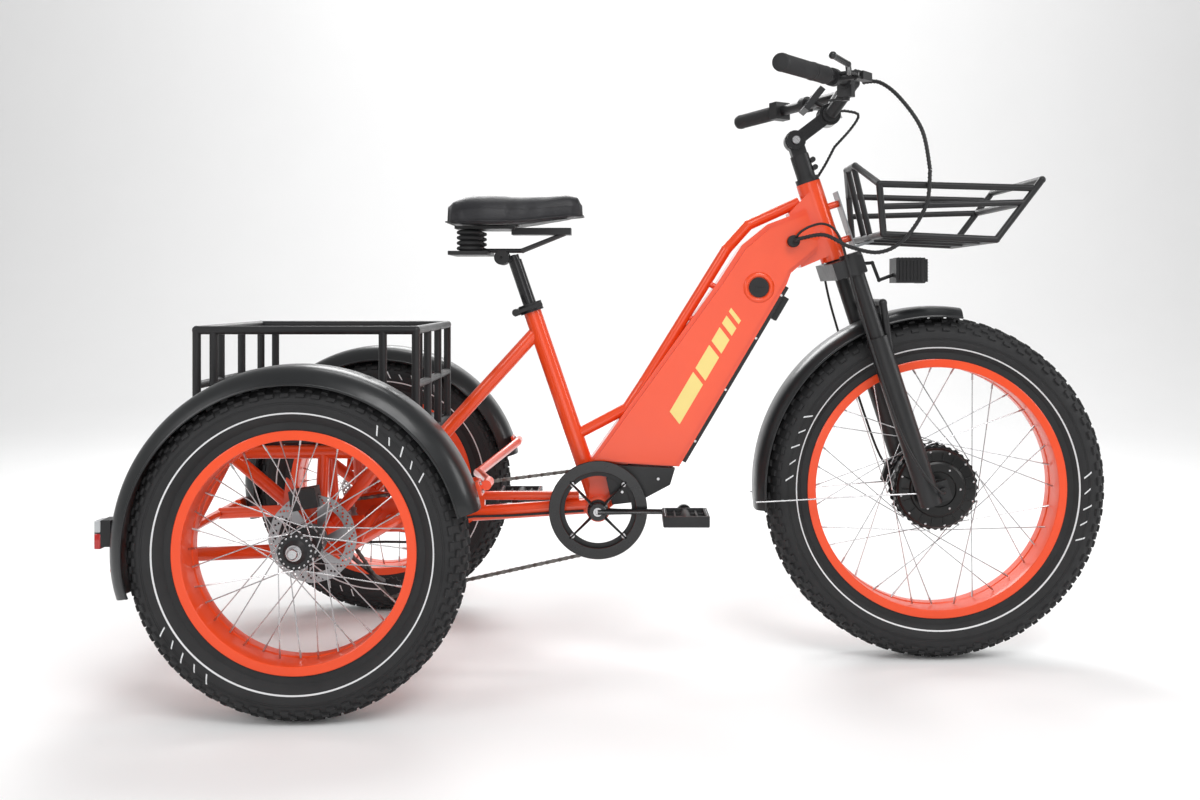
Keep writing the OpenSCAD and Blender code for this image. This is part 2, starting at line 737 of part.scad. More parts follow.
// Flat bar between two places in the XZ plane, t thick from y on, and h high
module flat_bar(p, q, y, t, h = 14) {
    v = q - p;
    translate([p.x, y, p.y]) rotate([0, -atan2(v.y, v.x), 0])
        translate([0, 0, -h / 2]) cube([norm(v), t, h]);
}

module chainring() {
    color(black) {
        across(bb + [0, chain_y, 0]) ring(ring_r - 4.6, 62, 2.4);
        // Guard outside the chain
        across(bb + [0, chain_y - 8, 0]) ring(guard_r, guard_r - 21, 3);
        // Pads that join both to the spider
        across(bb + [0, chain_y - 4, 0]) for (a = [0 : 90 : 270]) rotate(a)
            translate([64, -7, -7.6]) cube([14.5, 14, 10.5]);
    }
}

module crank_arms() {
    color(black) {
        across(bb + [0, -crank_y + 6, 0]) cylinder(h = 2 * crank_y - 12, d = spindle_d);
        // Right arm forward, left arm backward
        for (side = [-1, 1]) {
            across(bb + [0, side * crank_y, 0]) disc(18, 16);
            across(bb + [-side * crank_len, side * (crank_y + 6), 0]) difference() {
                disc(14, 14);
                disc(4.5 + run_gap, 20);
            }
            flat_bar([bb.x, bb.z], [bb.x - side * (crank_len - 10), bb.z],
                side * (crank_y + 3) - 6, 12, 24);
        }
        // Spider
        across(bb + [0, chain_y - 14.4, 0]) {
            disc(24, 7);
            for (a = [0 : 90 : 270]) rotate(a) translate([10, -7, -2.5]) cube([64, 14, 5]);
        }
    }
}

// Pedal on its axle, drawn at the crank end; side is -1 right, 1 left
module pedal(side) {
    p = bb + [-side * crank_len, side * (crank_y + 62), 0];
    color(black) {
        across(p) difference() {
            translate([0, 0, -46]) cylinder(h = 92, d = 20);
            translate([0, 0, -47]) cylinder(h = 94, d = 11);
        }
        for (y = [-46, 40]) translate(p + [-34, y, -11]) difference() {
            cube([68, 6, 22]);
            translate([34, -1, 11]) rotate([-90, 0, 0]) cylinder(h = 8, d = 11);
        }
        for (x = [-44, 34]) translate(p + [x, -46, -11]) cube([10, 92, 22]);
    }
    // Axle screwed into the crank
    color(steel) across(p + [0, -side * 14, 0]) translate([0, 0, -49]) cylinder(h = 98, d = 9);
}

module right_pedal() {
    pedal(-1);
}

module left_pedal() {
    pedal(1);
}

// ---------- cables ----------

module rear_hoses() {
    color(black) {
        // Brake hoses and the rear light's wire, clipped along the stay
        hose([bb + [-30, -17.5, -8], bb + [-180, -18, -17.6], bb + [-280, -19.2, -24],
            [link_x + 60, -30, link_z - 40], [rear_axle.x + 50, -70, rear_r - 50],
            [rear_axle.x + 30, -130, rear_r - 54], [rear_axle.x + 10, -190, rear_r - 30]],
            5, 3, 8, [0, 0, 1]);
        hose([bb + [-30, 17.5, -8], bb + [-180, 18, -17.6], bb + [-280, 19.2, -24],
            [link_x + 60, 30, link_z - 40], [rear_axle.x + 50, 70, rear_r - 50],
            [rear_axle.x + 30, 130, rear_r - 54], [rear_axle.x + 10, 190, rear_r - 30]],
            5, 3, 8, [0, 0, 1]);
    }
}

harness_d = 9;
harness_meet = [549, -163, 970];

module harness_plug() {
    color(black) across(head_base + [-88, -down_w / 2 - 17, 36]) cylinder(h = 16.7, d = 24);
}

module frame_harness() {
    color(black) {
        hose([harness_meet, [541, -166, 904], [502, -163, 841], [457, -150, 815],
            [405, -125, 826], [361, -100, 850], [323, -73, 846], [312, -68.3, 842],
            [307, -63.5, 840]], harness_d);
        // Motor lead down the right leg
        hose([[311, -62.9, 849], [320, -67, 859], [338, -73, 869], [360, -81, 873],
            [380, -93, 862], [394, -104, 832], [404, -110, 788], [430, -113, 690],
            [500, -112, 480], [548, -112, 390], [582, -104, 352], [596, -93, 346]], 5);
        // Brake hose down the left leg
        hose([[364, 27.9, 893], [380, 66, 858], [392, 106, 790], [410, 112, 710],
            [452, 112, 570], [490, 104, 450], [506, 84, 400], [514, 58.2, 380]], 5);
    }
}

module bar_harness() {
    color(black) {
        hose([[438, -86, 1150], [466, -108, 1146], [500, -130, 1112], [537, -150, 1048],
            harness_meet + [0, 0, 1.3]], harness_d);
        hose([[412, 34, 1112], [430, 38, 1113], [455, 45, 1106], [442, 50, 1080], [406, 46, 1040],
            [384, 38, 1000], [362, 31, 966], [350, 28.9, 945]], 7);
    }
}

module fasteners() {
    color(steel) {
        // Bolts of the tongue and the seat stay
        for (p = concat(link_bolts, [stay_eye]))
            let (half = p == stay_eye ? 20.6 : tongue_w / 2 + 6.6)
            across([p.x, -half, p.z]) {
                cylinder(h = 2 * half, d = 8);
                for (z = [-5, 2 * half]) translate([0, 0, z]) cylinder(h = 5, d = 14);
            }
        // Screws of the fender tips
        both_sides() for (tip = [[18, front_bar_r], [188, rear_bar_r]]) for (z = [-7, 7])
            translate([rear_axle.x, bar_out + 8, rear_r]) rotate([0, -tip[0], 0])
                translate([tip[1] - bar_stub_d / 2 + 0.8, 0, z]) rotate([0, 90, 0])
                    cylinder(h = 3, d = 7);
        // Screws of the controller cover
        both_sides() for (d = [[48, 34], [120, 60]])
            across(bb + [d.x, cover_y + 0.1, d.y]) cylinder(h = 1.2, d = 6);
    }
}

// ---------- saddle ----------

module seat_post() {
    color(black) {
        at_seat() translate([0, 0, seat_tube_len - 150])
            cylinder(h = 150 + post_show, d = post_d);
        at_seat() translate([0, 0, seat_tube_len + post_show - 1]) cylinder(h = 12, d = 22);
        // Head that holds the rail clamp
        translate(saddle_pivot) rotate([90, 0, 0]) cylinder(h = 26, d = 26, center = true);
        at_seat() translate([-16, -10, seat_tube_len + post_show]) cube([20, 20, 12]);
    }
}

// The saddle tilts about this clamp
module saddle_base() {
    p = saddle_pivot;
    color(black) {
        difference() {
            both_sides() across(p + [0, 13 + run_gap, 0]) cylinder(h = 9, d = 30);
            across(p + [0, -30, 0]) cylinder(h = 60, d = 5);
        }
        // Rails
        both_sides() pipe([p + [-38, 17.6, 14], p + [40, 17.6, 14], p + [130, 12, 50]], 8);
        // Spring plate and carrier under the rear of the shell
        translate(p + [-102, -62, 4]) cube([78, 124, 8]);
        translate(p + [-90, -52, 56]) cube([120, 104, 6]);
        translate(p + [20, -20, 46]) cube([120, 40, 14]);
    }
}

module saddle_springs() {
    color(black) both_sides() for (k = [0 : 3])
        translate(saddle_pivot + [-62, 36, 12.3 + k * 10.9]) {
            cylinder(h = 7.4, d = 52);
            translate([0, 0, 7.2]) cylinder(h = 3.7, d = 42);
        }
}

module saddle_cover() {
    p = saddle_pivot;
    w = saddle_w / 2;
    back = p + [-106, 0, 62.4];
    outline = [[0, 0.72], [0.04, 0.9], [0.14, 1], [0.3, 0.95], [0.46, 0.62], [0.62, 0.32],
        [0.82, 0.24], [0.95, 0.2], [1, 0.1]];
    half = [for (q = outline) [q.x * saddle_len, q.y * w]];
    color(black) {
        // Layers from the bottom up: inset at the ends, share of the width, height
        hull() for (layer = [[10, 0.86, 0], [0, 1, 22], [18, 0.84, 52]])
            translate(back + [layer[0], 0, layer[2]]) linear_extrude(14)
                let (shrink = 1 - 2 * layer[0] / saddle_len)
                polygon(concat([for (q = half) [q.x * shrink, q.y * layer[1]]],
                    [for (i = [len(half) - 1 : -1 : 0])
                        [half[i].x * shrink, -half[i].y * layer[1]]]));
    }
}

// ---------- fork ----------

module fork_crown() {
    color(black) at_head() {
        translate([0, 0, crown_high - 1]) cylinder(h = head_len + 52, d = steerer_d);
        difference() {
            union() {
                translate([-22, -leg_y - 21, crown_low]) cube([62, leg_gap + 42, crown_high - crown_low]);
                for (y = [-leg_y, leg_y]) translate([leg_x, y, crown_low - 2])
                    cylinder(h = crown_high - crown_low + 10, d = lower_d);
            }
            translate([40, -12, crown_low - 1]) cube([20, 24, 50]);
        }
        for (y = [-leg_y, leg_y]) translate([leg_x, y, -fork_len + 170])
            cylinder(h = fork_len - 170 + crown_low + 5, d = stanchion_d);
        // Flat under the lower bearing
        translate([0, 0, crown_high - 0.5]) cylinder(h = 4.2, d = 34);
    }
}

module stem_base() {
    color(black) at_head() difference() {
        union() {
            // Cover over the upper bearing
            translate([0, 0, head_len + seat_gap]) cylinder(h = 10, d = 48);
            translate([0, 0, head_len + 9]) cylinder(h = 50, d = 38);
            translate([-15, -13, head_len + 40]) cube([30, 26, 34]);
            translate([0, 0, stem_pivot_z]) rotate([90, 0, 0]) cylinder(h = 26, d = 42, center = true);
            for (z = [26, 42]) translate([22, 0, head_len + z]) rotate([90, 0, 0])
                cylinder(h = 26, d = 11, center = true);
        }
        translate([0, 0, head_len - 1]) cylinder(h = 50.2, d = steerer_d + 0.04);
        translate([0, 0, stem_pivot_z]) rotate([90, 0, 0])
            cylinder(h = 60, d = 10 + 2 * run_gap, center = true);
    }
}

module fork_lowers() {
    arch_z = -fork_len + front_fender_r + 24;
    color(black) at_head() {
        difference() {
            union() {
                for (side = [-1, 1]) {
                    translate([leg_x, side * leg_y, -fork_len - 16]) cylinder(h = 346, d = lower_d);
                    // Lug that holds the axle
                    translate([leg_x, side * (leg_y - 4) - 6, -fork_len - 18])
                        cube([44, 12, 40]);
                    // Upright of the arch
                    rod([leg_x + 17, side * (leg_y - 1), -fork_len + 300],
                        [fork_offset + 4, side * (leg_y - 6), arch_z], 15);
                    translate([fork_offset + 4, side * (leg_y - 6), arch_z]) sphere(d = 17);
                }
                rod([fork_offset + 4, 6 - leg_y, arch_z], [fork_offset + 4, leg_y - 6, arch_z], 16);
                // Pad that the fender is screwed to
                translate([fork_offset - 6, -12, -fork_len + front_fender_r + 0.5])
                    cube([20, 24, 20]);
            }
            for (side = [-1, 1]) translate([leg_x, side * leg_y, -fork_len + 100])
                cylinder(h = 300, d = stanchion_d + 2 * run_gap);
        }
        // Wheel axle and its nuts
        across([fork_offset, -leg_y - 12, -fork_len]) cylinder(h = leg_gap + 24, d = 12);
        for (y = [-leg_y - 12, leg_y + 3]) across([fork_offset, y, -fork_len])
            cylinder(h = 9, d = 20);
    }
}

module front_fender() {
    color(black) translate(front_axle) fender_shell(front_fender_r, 20, 82, 187);
    // Wire stays to the lower legs
    tip = front_axle + [-front_fender_r * cos(8) + 2, 0, front_fender_r * sin(8)];
    eye = head_point([leg_x - 2, 0, -fork_len + 72]);
    color(steel) both_sides() rod(tip + [0, fender_w / 2 + 2.2, 0], eye + [0, leg_y + lower_d / 2 + 2.3, 0], 4);
}

module headlight() {
    color(black) at_head() {
        translate([leg_x + 62, 0, 0]) {
            // Lamp body with its lens in front
            translate([18, -30, -82]) rotate([0, lean, 0]) {
                cube([58, 60, 50]);
                translate([57, 2, 2]) cube([7, 56, 46]);
            }
        }
        // Wire bracket from the crown
        translate([40 + seat_gap, -8, crown_low + 6]) cube([10, 16, 18]);
        rod([48, 0, crown_low + 14], [74, 0, crown_low + 8], 7);
        rod([74, 0, crown_low + 8], [76, 0, -68], 7);
        rod([76, 0, -68], [112, 0, -66], 7);
        translate([74, 0, crown_low + 8]) sphere(d = 8);
        translate([76, 0, -68]) sphere(d = 8);
    }
}

// ---------- front wheel ----------

module front_rim() {
    translate(front_axle) rotate([90, 0, 0]) rim_body(front_rim_d / 2);
}

module front_tire() {
    translate(front_axle) rotate([90, 0, 0]) tire_body(front_rim_d / 2, front_r);
}

module front_spokes() {
    translate(front_axle) rotate([90, 0, 0]) spoke_set(motor_r, 22, front_rim_d / 2);
}

module front_hub_motor() {
    color(black) across(front_axle) {
        difference() {
            union() {
                disc(motor_r - 5, 2 * motor_half);
                for (z = [-22, 22]) translate([0, 0, z]) disc(motor_r, 5);
                translate([0, 0, -motor_half - 8]) cylinder(h = 10, r = 55);
                translate([0, 0, motor_half - 1]) cylinder(h = 6.9, r = 24);
            }
            disc(6 + run_gap, 140);
        }
        // Brake rotor on the left side
        translate([0, 0, front_rotor_y]) difference() {
            rotor();
            disc(6 + 1, 10);
        }
    }
}

// ---------- rear wheels ----------

module rear_wheel_frame(side) {
    translate([rear_axle.x, side * wheel_y, rear_r]) rotate([90, 0, 0]) children();
}

// Hub with its half shaft, nut and rotor; the outside is +Z
module rear_hub_body() {
    color(black) {
        for (z = [-hub_half + 3, hub_half - 3]) translate([0, 0, z]) disc(flange_r, 5);
        translate([0, 0, -hub_half]) cylinder(h = 2 * hub_half, r = 21);
        translate([0, 0, -rotor_y - 6]) cylinder(h = rotor_y - hub_half + 7, r = 16);
        translate([0, 0, hub_half - 1]) cylinder(h = 9, r = 14);
    }
    color(steel) {
        translate([0, 0, -wheel_y + 18]) cylinder(h = wheel_y + 30, d = shaft_d);
        translate([0, 0, hub_half + 7.5]) cylinder(h = 9, d = 24);
        translate([0, 0, -rotor_y]) {
            rotor();
            disc(18, rotor_t);
        }
    }
}

module right_rear_rim() {
    rear_wheel_frame(-1) rim_body(rear_rim_d / 2);
}

module right_rear_tire() {
    rear_wheel_frame(-1) tire_body(rear_rim_d / 2, rear_r);
}

module right_rear_hub() {
    rear_wheel_frame(-1) rear_hub_body();
}

module right_rear_spokes() {
    rear_wheel_frame(-1) spoke_set(flange_r, hub_half - 3, rear_rim_d / 2);
}

module left_rear_rim() {
    mirror([0, 1, 0]) right_rear_rim();
}

module left_rear_tire() {
    mirror([0, 1, 0]) right_rear_tire();
}

module left_rear_hub() {
    mirror([0, 1, 0]) right_rear_hub();
}

module left_rear_spokes() {
    mirror([0, 1, 0]) right_rear_spokes();
}

// ---------- cockpit ----------

module stem_arm() {
    color(black) {
        difference() {
            union() {
                both_sides() translate(stem_pivot) rotate([-90, 0, 0])
                    translate([0, 0, 13 + run_gap]) cylinder(h = 8.6, d = 38);
                both_sides() translate(stem_pivot + [0, 13 + run_gap, 0]) rotate([0, -stem_rise, 0])
                    translate([0, 0, -13]) cube([stem_len, 8, 26]);
                translate(stem_pivot) rotate([0, -stem_rise, 0])
                    translate([30, -19, -13]) cube([stem_len - 30, 38, 26]);
                across(bar_mid + [0, -22, 0]) cylinder(h = 44, d = clamp_d + 12);
            }
            across(bar_mid + [0, -23, 0]) cylinder(h = 46, d = clamp_d + 0.04);
        }
        across(stem_pivot + [0, -24, 0]) cylinder(h = 48, d = 10);
    }
}

module handlebar() {
    color(black) {
        across(bar_mid + [0, -30, 0]) cylinder(h = 60, d = clamp_d);
        both_sides() {
            rod(bar_mid + [0, 28, 0], bar_bend, bar_d + 3);
            translate(bar_bend) sphere(d = bar_d + 3 + bead);
            at_bar() cylinder(h = bar_end_len, d = bar_d);
        }
    }
}

// Rubber sleeve with a closed end, from z0 outwards
module grip_sleeve(z0, length, d) {
    difference() {
        translate([0, 0, z0]) cylinder(h = length, d = d);
        translate([0, 0, z0 - 1]) cylinder(h = length + 2, d = bar_d + 2 * run_gap);
    }
}

module grips() {
    color(black) both_sides() at_bar() {
        grip_sleeve(bar_end_len - grip_len, grip_len, 33);
        translate([0, 0, bar_end_len + 0.1]) cylinder(h = 5, d = 33);
    }
}

throttle_len = 62;

module throttle_grip() {
    color(black) mirror([0, 1, 0]) at_bar()
        grip_sleeve(bar_end_len - grip_len - throttle_len - 1, throttle_len, 34);
}

// Lever places along the bar, from the bend
lever_z = bar_end_len - grip_len - throttle_len - 40;
lever_x = 46;

module display() {
    c = bar_mid + [-24, 58, 40];
    color(black) {
        translate(c) rotate([0, -52, 0]) cube([56, 74, 13], center = true);
        rod(c + [4, -8, -4], bar_mid + [1.4, 48.3, 24.7], 9);
    }
}

module control_pods() {
    color(black) {
        both_sides() at_bar() {
            // Brake clamp and lever body
            difference() {
                union() {
                    translate([0, 0, lever_z - 4]) cylinder(h = 16, d = bar_d + 12);
                    for (y = [-8, 3]) translate([0, y, lever_z - 8]) cube([lever_x + 8, 5, 18]);
                    translate([lever_x - 6, -8, lever_z - 51]) cube([18, 16, 46]);
                }
                translate([0, 0, lever_z - 60]) cylinder(h = 90, d = bar_d + 2 * run_gap);
                translate([lever_x, 0, lever_z + 4]) rotate([90, 0, 0])
                    cylinder(h = 40, d = 5 + 2 * run_gap, center = true);
            }
        }
        // Shifter body on the right, switch box on the left
        mirror([0, 1, 0]) at_bar() difference() {
            union() {
                translate([0, 0, 30]) cylinder(h = 22, d = bar_d + 10);
                translate([-14, 10, 32]) cube([30, 22, 18]);
            }
            translate([0, 0, 20]) cylinder(h = 50, d = bar_d + 2 * run_gap);
        }
        at_bar() difference() {
            translate([-22, -19, bar_end_len - grip_len - 26]) cube([40, 38, 24]);
            translate([0, 0, bar_end_len - grip_len - 30]) cylinder(h = 40, d = bar_d + 2 * run_gap);
        }
    }
}

// Blade that pivots in front of the bar
module brake_lever() {
    color(black) at_bar() {
        translate([lever_x, 0, lever_z + 4]) rotate([90, 0, 0]) cylinder(h = 20, d = 5, center = true);
        difference() {
            union() {
                translate([lever_x, 0, lever_z + 4]) rotate([90, 0, 0])
                    cylinder(h = 5.8, d = 16, center = true);
                translate([lever_x - 5, -2.9, lever_z + 8]) cube([11, 5.8, 30]);
                rod([lever_x, 0, lever_z + 36], [lever_x + 12, -10, lever_z + 70], 11);
                rod([lever_x + 12, -10, lever_z + 70], [lever_x + 10, -18, lever_z + 136], 11);
                translate([lever_x + 12, -10, lever_z + 70]) sphere(d = 11 + bead);
                translate([lever_x + 10, -18, lever_z + 136]) sphere(d = 14);
            }
        }
    }
}

module left_brake_lever() {
    brake_lever();
}

module right_brake_lever() {
    mirror([0, 1, 0]) brake_lever();
}

module shift_lever() {
    color(black) mirror([0, 1, 0]) at_bar() {
        translate([0, 32 + seat_gap, 41]) rotate([-90, 0, 0]) cylinder(h = 6, d = 16);
        translate([-34, 33, 36]) cube([34, 4, 10]);
    }
}

main_frame();
rear_frame();
battery_pack();
charge_port_cover();
controller_cover();
bearings();
seat_clamp();
rear_basket();
rear_basket_floor();
front_basket();
basket_bracket();
right_rear_fender();
left_rear_fender();
tail_light();
rear_calipers();
chain();
derailleur_body();
rear_hoses();
fasteners();
harness_plug();
frame_harness();
bar_harness();
seat_clamp_lever();
seat_post();
saddle_cover();
saddle_base();
saddle_springs();
derailleur_cage();
fork_crown();
stem_base();
fork_lowers();
front_fender();
headlight();
front_caliper();
front_rim();
front_tire();
front_hub_motor();
front_spokes();
stem_arm();
handlebar();
grips();
throttle_grip();
display();
control_pods();
right_brake_lever();
left_brake_lever();
shift_lever();
right_rear_rim();
right_rear_tire();
right_rear_hub();
right_rear_spokes();
left_rear_rim();
left_rear_tire();
left_rear_hub();
left_rear_spokes();
crank_arms();
chainring();
right_pedal();
left_pedal();
cassette();
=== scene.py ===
"""Looks of an electric cargo tricycle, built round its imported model."""

import json
import logging
import math
from contextlib import contextmanager
from dataclasses import dataclass
from enum import Enum
from typing import Callable, Iterator, Optional, Sequence

import bmesh
import bpy
from mathutils import Matrix, Vector

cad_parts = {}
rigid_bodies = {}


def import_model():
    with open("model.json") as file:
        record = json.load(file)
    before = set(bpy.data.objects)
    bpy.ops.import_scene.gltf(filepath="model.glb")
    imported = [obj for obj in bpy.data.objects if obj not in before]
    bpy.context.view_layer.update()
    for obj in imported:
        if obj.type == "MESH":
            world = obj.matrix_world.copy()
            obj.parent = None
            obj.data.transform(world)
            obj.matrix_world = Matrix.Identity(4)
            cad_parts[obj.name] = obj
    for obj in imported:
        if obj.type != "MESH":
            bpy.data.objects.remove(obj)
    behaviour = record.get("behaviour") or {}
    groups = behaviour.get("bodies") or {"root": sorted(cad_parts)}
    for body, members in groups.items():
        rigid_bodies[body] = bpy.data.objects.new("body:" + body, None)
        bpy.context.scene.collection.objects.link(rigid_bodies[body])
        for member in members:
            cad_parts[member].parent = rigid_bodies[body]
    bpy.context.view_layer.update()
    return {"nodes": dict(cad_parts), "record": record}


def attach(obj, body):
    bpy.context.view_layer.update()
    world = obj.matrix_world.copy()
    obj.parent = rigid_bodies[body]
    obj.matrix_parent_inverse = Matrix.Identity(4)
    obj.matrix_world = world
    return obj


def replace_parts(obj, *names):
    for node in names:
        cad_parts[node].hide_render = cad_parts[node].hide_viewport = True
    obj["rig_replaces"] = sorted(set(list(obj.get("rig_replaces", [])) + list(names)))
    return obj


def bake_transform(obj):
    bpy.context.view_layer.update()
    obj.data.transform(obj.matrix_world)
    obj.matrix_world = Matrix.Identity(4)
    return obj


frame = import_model()
LOG = logging.getLogger("tricycle")

MM = 0.001
Point = tuple[float, float, float]
Color = tuple[float, float, float]

# Wheel axles, in mm
FRONT_AXLE: Point = (596.5, 0.0, 345.0)
RIGHT_AXLE: Point = (-591.5, -350.0, 295.0)
LEFT_AXLE: Point = (-591.5, 350.0, 295.0)

# Chain pitch, in mm
PITCH = 12.7

# Sockets of the color mix node
MIX_LOW, MIX_HIGH, MIX_RESULT = 6, 7, 2

# Noise scales of every finish, and what its coat, shine and bump share
PATCH_SCALE = 14.0
SHEEN_SCALE = 45.0
COAT_ROUGHNESS = 0.08
DULL_SPECULAR = 0.36
BUMP_DEPTH = 0.6


# ---------- finishes ----------


def two_tone(tree: bpy.types.NodeTree, factor: bpy.types.NodeSocket, low: Color,
             high: Color) -> bpy.types.NodeSocket:
    """Returns the output of a mix between two colors, by that factor."""
    mix = tree.nodes.new("ShaderNodeMix")
    mix.data_type = "RGBA"
    mix.inputs[MIX_LOW].default_value = (*low, 1.0)
    mix.inputs[MIX_HIGH].default_value = (*high, 1.0)
    tree.links.new(factor, mix.inputs[0])
    return mix.outputs[MIX_RESULT]


class Grain(Enum):
    """The small relief of a surface."""

    FINE = "fine"
    LEATHER = "leather"
    BRUSHED = "brushed"
    MOULDED = "moulded"


@dataclass(frozen=True)
class Finish:
    """A surface finish and the node material that shows it."""

    name: str
    slot: str
    color: Color
    worn: Color
    metallic: float = 0.0
    roughness: float = 0.4
    spread: float = 0.08
    grain: Grain = Grain.FINE
    grain_scale: float = 900.0
    relief: float = 0.05
    coat: float = 0.0
    transmission: float = 0.0

    def material(self) -> bpy.types.Material:
        """Returns the finish's material, made on first use."""
        found = bpy.data.materials.get(self.name)
        if found:
            return found
        made = bpy.data.materials.new(self.name)
        made.use_nodes = True
        made.diffuse_color = (*self.color, 1.0)
        tree = made.node_tree
        shader = tree.nodes["Principled BSDF"]
        shader.inputs["Metallic"].default_value = self.metallic
        shader.inputs["Coat Weight"].default_value = self.coat
        shader.inputs["Coat Roughness"].default_value = COAT_ROUGHNESS
        shader.inputs["Transmission Weight"].default_value = self.transmission
        if not self.metallic and not self.transmission:
            shader.inputs["Specular IOR Level"].default_value = DULL_SPECULAR
        place = tree.nodes.new("ShaderNodeTexCoord").outputs["Object"]
        patches = self._noise(tree, place, PATCH_SCALE, 3.0)
        tree.links.new(two_tone(tree, patches, self.color, self.worn),
                       shader.inputs["Base Color"])
        rough = tree.nodes.new("ShaderNodeMapRange")
        rough.inputs["To Min"].default_value = max(0.02, self.roughness - self.spread)
        rough.inputs["To Max"].default_value = self.roughness + self.spread
        tree.links.new(self._noise(tree, place, SHEEN_SCALE, 4.0), rough.inputs["Value"])
        tree.links.new(rough.outputs["Result"], shader.inputs["Roughness"])
        bump = tree.nodes.new("ShaderNodeBump")
        bump.inputs["Strength"].default_value = self.relief
        bump.inputs["Distance"].default_value = BUMP_DEPTH * MM
        tree.links.new(self._relief(tree, place), bump.inputs["Height"])
        tree.links.new(bump.outputs["Normal"], shader.inputs["Normal"])
        return made

    def _noise(self, tree, place, scale: float, detail: float):
        """Returns a noise texture's output at that scale."""
        node = tree.nodes.new("ShaderNodeTexNoise")
        node.inputs["Scale"].default_value = scale
        node.inputs["Detail"].default_value = detail
        tree.links.new(place, node.inputs["Vector"])
        return node.outputs[0]

    def _relief(self, tree, place):
        """Returns the height output of the finish's grain."""
        if self.grain is Grain.LEATHER:
            cells = tree.nodes.new("ShaderNodeTexVoronoi")
            cells.feature = "DISTANCE_TO_EDGE"
            cells.inputs["Scale"].default_value = self.grain_scale
            tree.links.new(place, cells.inputs["Vector"])
            ramp = tree.nodes.new("ShaderNodeMapRange")
            ramp.inputs["From Max"].default_value = 0.18
            tree.links.new(cells.outputs["Distance"], ramp.inputs["Value"])
            return ramp.outputs["Result"]
        if self.grain is Grain.BRUSHED:
            turn = tree.nodes.new("ShaderNodeMapping")
            turn.inputs["Scale"].default_value = (1.0, 1.0, 18.0)
            tree.links.new(place, turn.inputs["Vector"])
            place = turn.outputs["Vector"]
        return self._noise(tree, place, self.grain_scale, 2.0)


ORANGE = Finish("orange_paint", "frame_paint", (0.86, 0.075, 0.012), (0.80, 0.062, 0.010),
                roughness=0.3, spread=0.05, grain_scale=420.0, relief=0.035, coat=0.55)
RIM_ORANGE = Finish("orange_rim", "rim_paint", (0.86, 0.078, 0.014), (0.78, 0.062, 0.011),
                    roughness=0.38, spread=0.06, grain_scale=500.0, relief=0.04, coat=0.3)
BLACK = Finish("black_powder", "black_metal", (0.012, 0.012, 0.013), (0.02, 0.02, 0.021),
               metallic=0.2, roughness=0.42, spread=0.08, grain_scale=1500.0, relief=0.12)
GLOSS_BLACK = Finish("black_gloss", "black_metal", (0.01, 0.01, 0.011), (0.016, 0.016, 0.017),
                     metallic=0.3, roughness=0.25, spread=0.07, grain_scale=900.0,
                     relief=0.04, coat=0.3)
STEEL = Finish("bright_steel", "steel", (0.62, 0.62, 0.63), (0.48, 0.48, 0.49),
               metallic=1.0, roughness=0.28, spread=0.1, grain=Grain.BRUSHED,
               grain_scale=260.0, relief=0.05)
ROTOR_STEEL = Finish("rotor_steel", "black_metal", (0.42, 0.42, 0.43), (0.30, 0.30, 0.31),
                     metallic=1.0, roughness=0.33, spread=0.1, grain=Grain.BRUSHED,
                     grain_scale=300.0, relief=0.06)
MOTOR = Finish("motor_case", "motor_case", (0.012, 0.012, 0.013), (0.02, 0.02, 0.022),
               metallic=0.35, roughness=0.38, spread=0.07, grain_scale=1100.0, relief=0.1)
TYRE = Finish("tyre_rubber", "tyre", (0.013, 0.013, 0.014), (0.024, 0.024, 0.025),
              roughness=0.68, spread=0.1, grain_scale=1300.0, relief=0.3)
WHITE_RING = Finish("reflective_ring", "tyre", (0.78, 0.79, 0.8), (0.6, 0.61, 0.62),
                    roughness=0.4, spread=0.08, grain_scale=1500.0, relief=0.08)
RUBBER = Finish("soft_rubber", "rubber", (0.014, 0.014, 0.015), (0.024, 0.024, 0.025),
                roughness=0.6, spread=0.1, grain=Grain.MOULDED, grain_scale=1700.0,
                relief=0.22)
FENDER = Finish("fender_black", "plastic", (0.011, 0.012, 0.013), (0.017, 0.018, 0.019),
                roughness=0.32, spread=0.07, grain_scale=700.0, relief=0.05, coat=0.12)
PLASTIC = Finish("moulded_black", "plastic", (0.014, 0.014, 0.015), (0.022, 0.022, 0.023),
                 roughness=0.46, spread=0.08, grain=Grain.MOULDED, grain_scale=2200.0,
                 relief=0.16)
VINYL = Finish("saddle_vinyl", "vinyl", (0.012, 0.012, 0.014), (0.02, 0.02, 0.023),
               roughness=0.4, spread=0.08, grain=Grain.LEATHER, grain_scale=620.0,
               relief=0.22)
GREY = Finish("bracket_grey", "grey_metal", (0.32, 0.33, 0.34), (0.25, 0.26, 0.27),
              metallic=0.6, roughness=0.4, grain_scale=800.0, relief=0.08)
CHAIN = Finish("chain_steel", "chain", (0.2, 0.19, 0.18), (0.12, 0.11, 0.1), metallic=1.0,
               roughness=0.38, spread=0.12, grain_scale=600.0, relief=0.1)
LAMP_BLACK = Finish("lamp_black", "lamp", (0.012, 0.012, 0.013), (0.02, 0.02, 0.021),
                    roughness=0.4, grain=Grain.MOULDED, grain_scale=1800.0, relief=0.12)
CLEAR_LENS = Finish("clear_lens", "lamp", (0.72, 0.74, 0.76), (0.62, 0.64, 0.66),
                    roughness=0.1, spread=0.04, grain_scale=300.0, relief=0.04, coat=0.6,
                    transmission=0.35)
RED_LENS = Finish("red_lens", "lamp", (0.62, 0.012, 0.01), (0.5, 0.008, 0.008),
                  roughness=0.14, spread=0.04, grain_scale=300.0, relief=0.05, coat=0.6,
                  transmission=0.25)
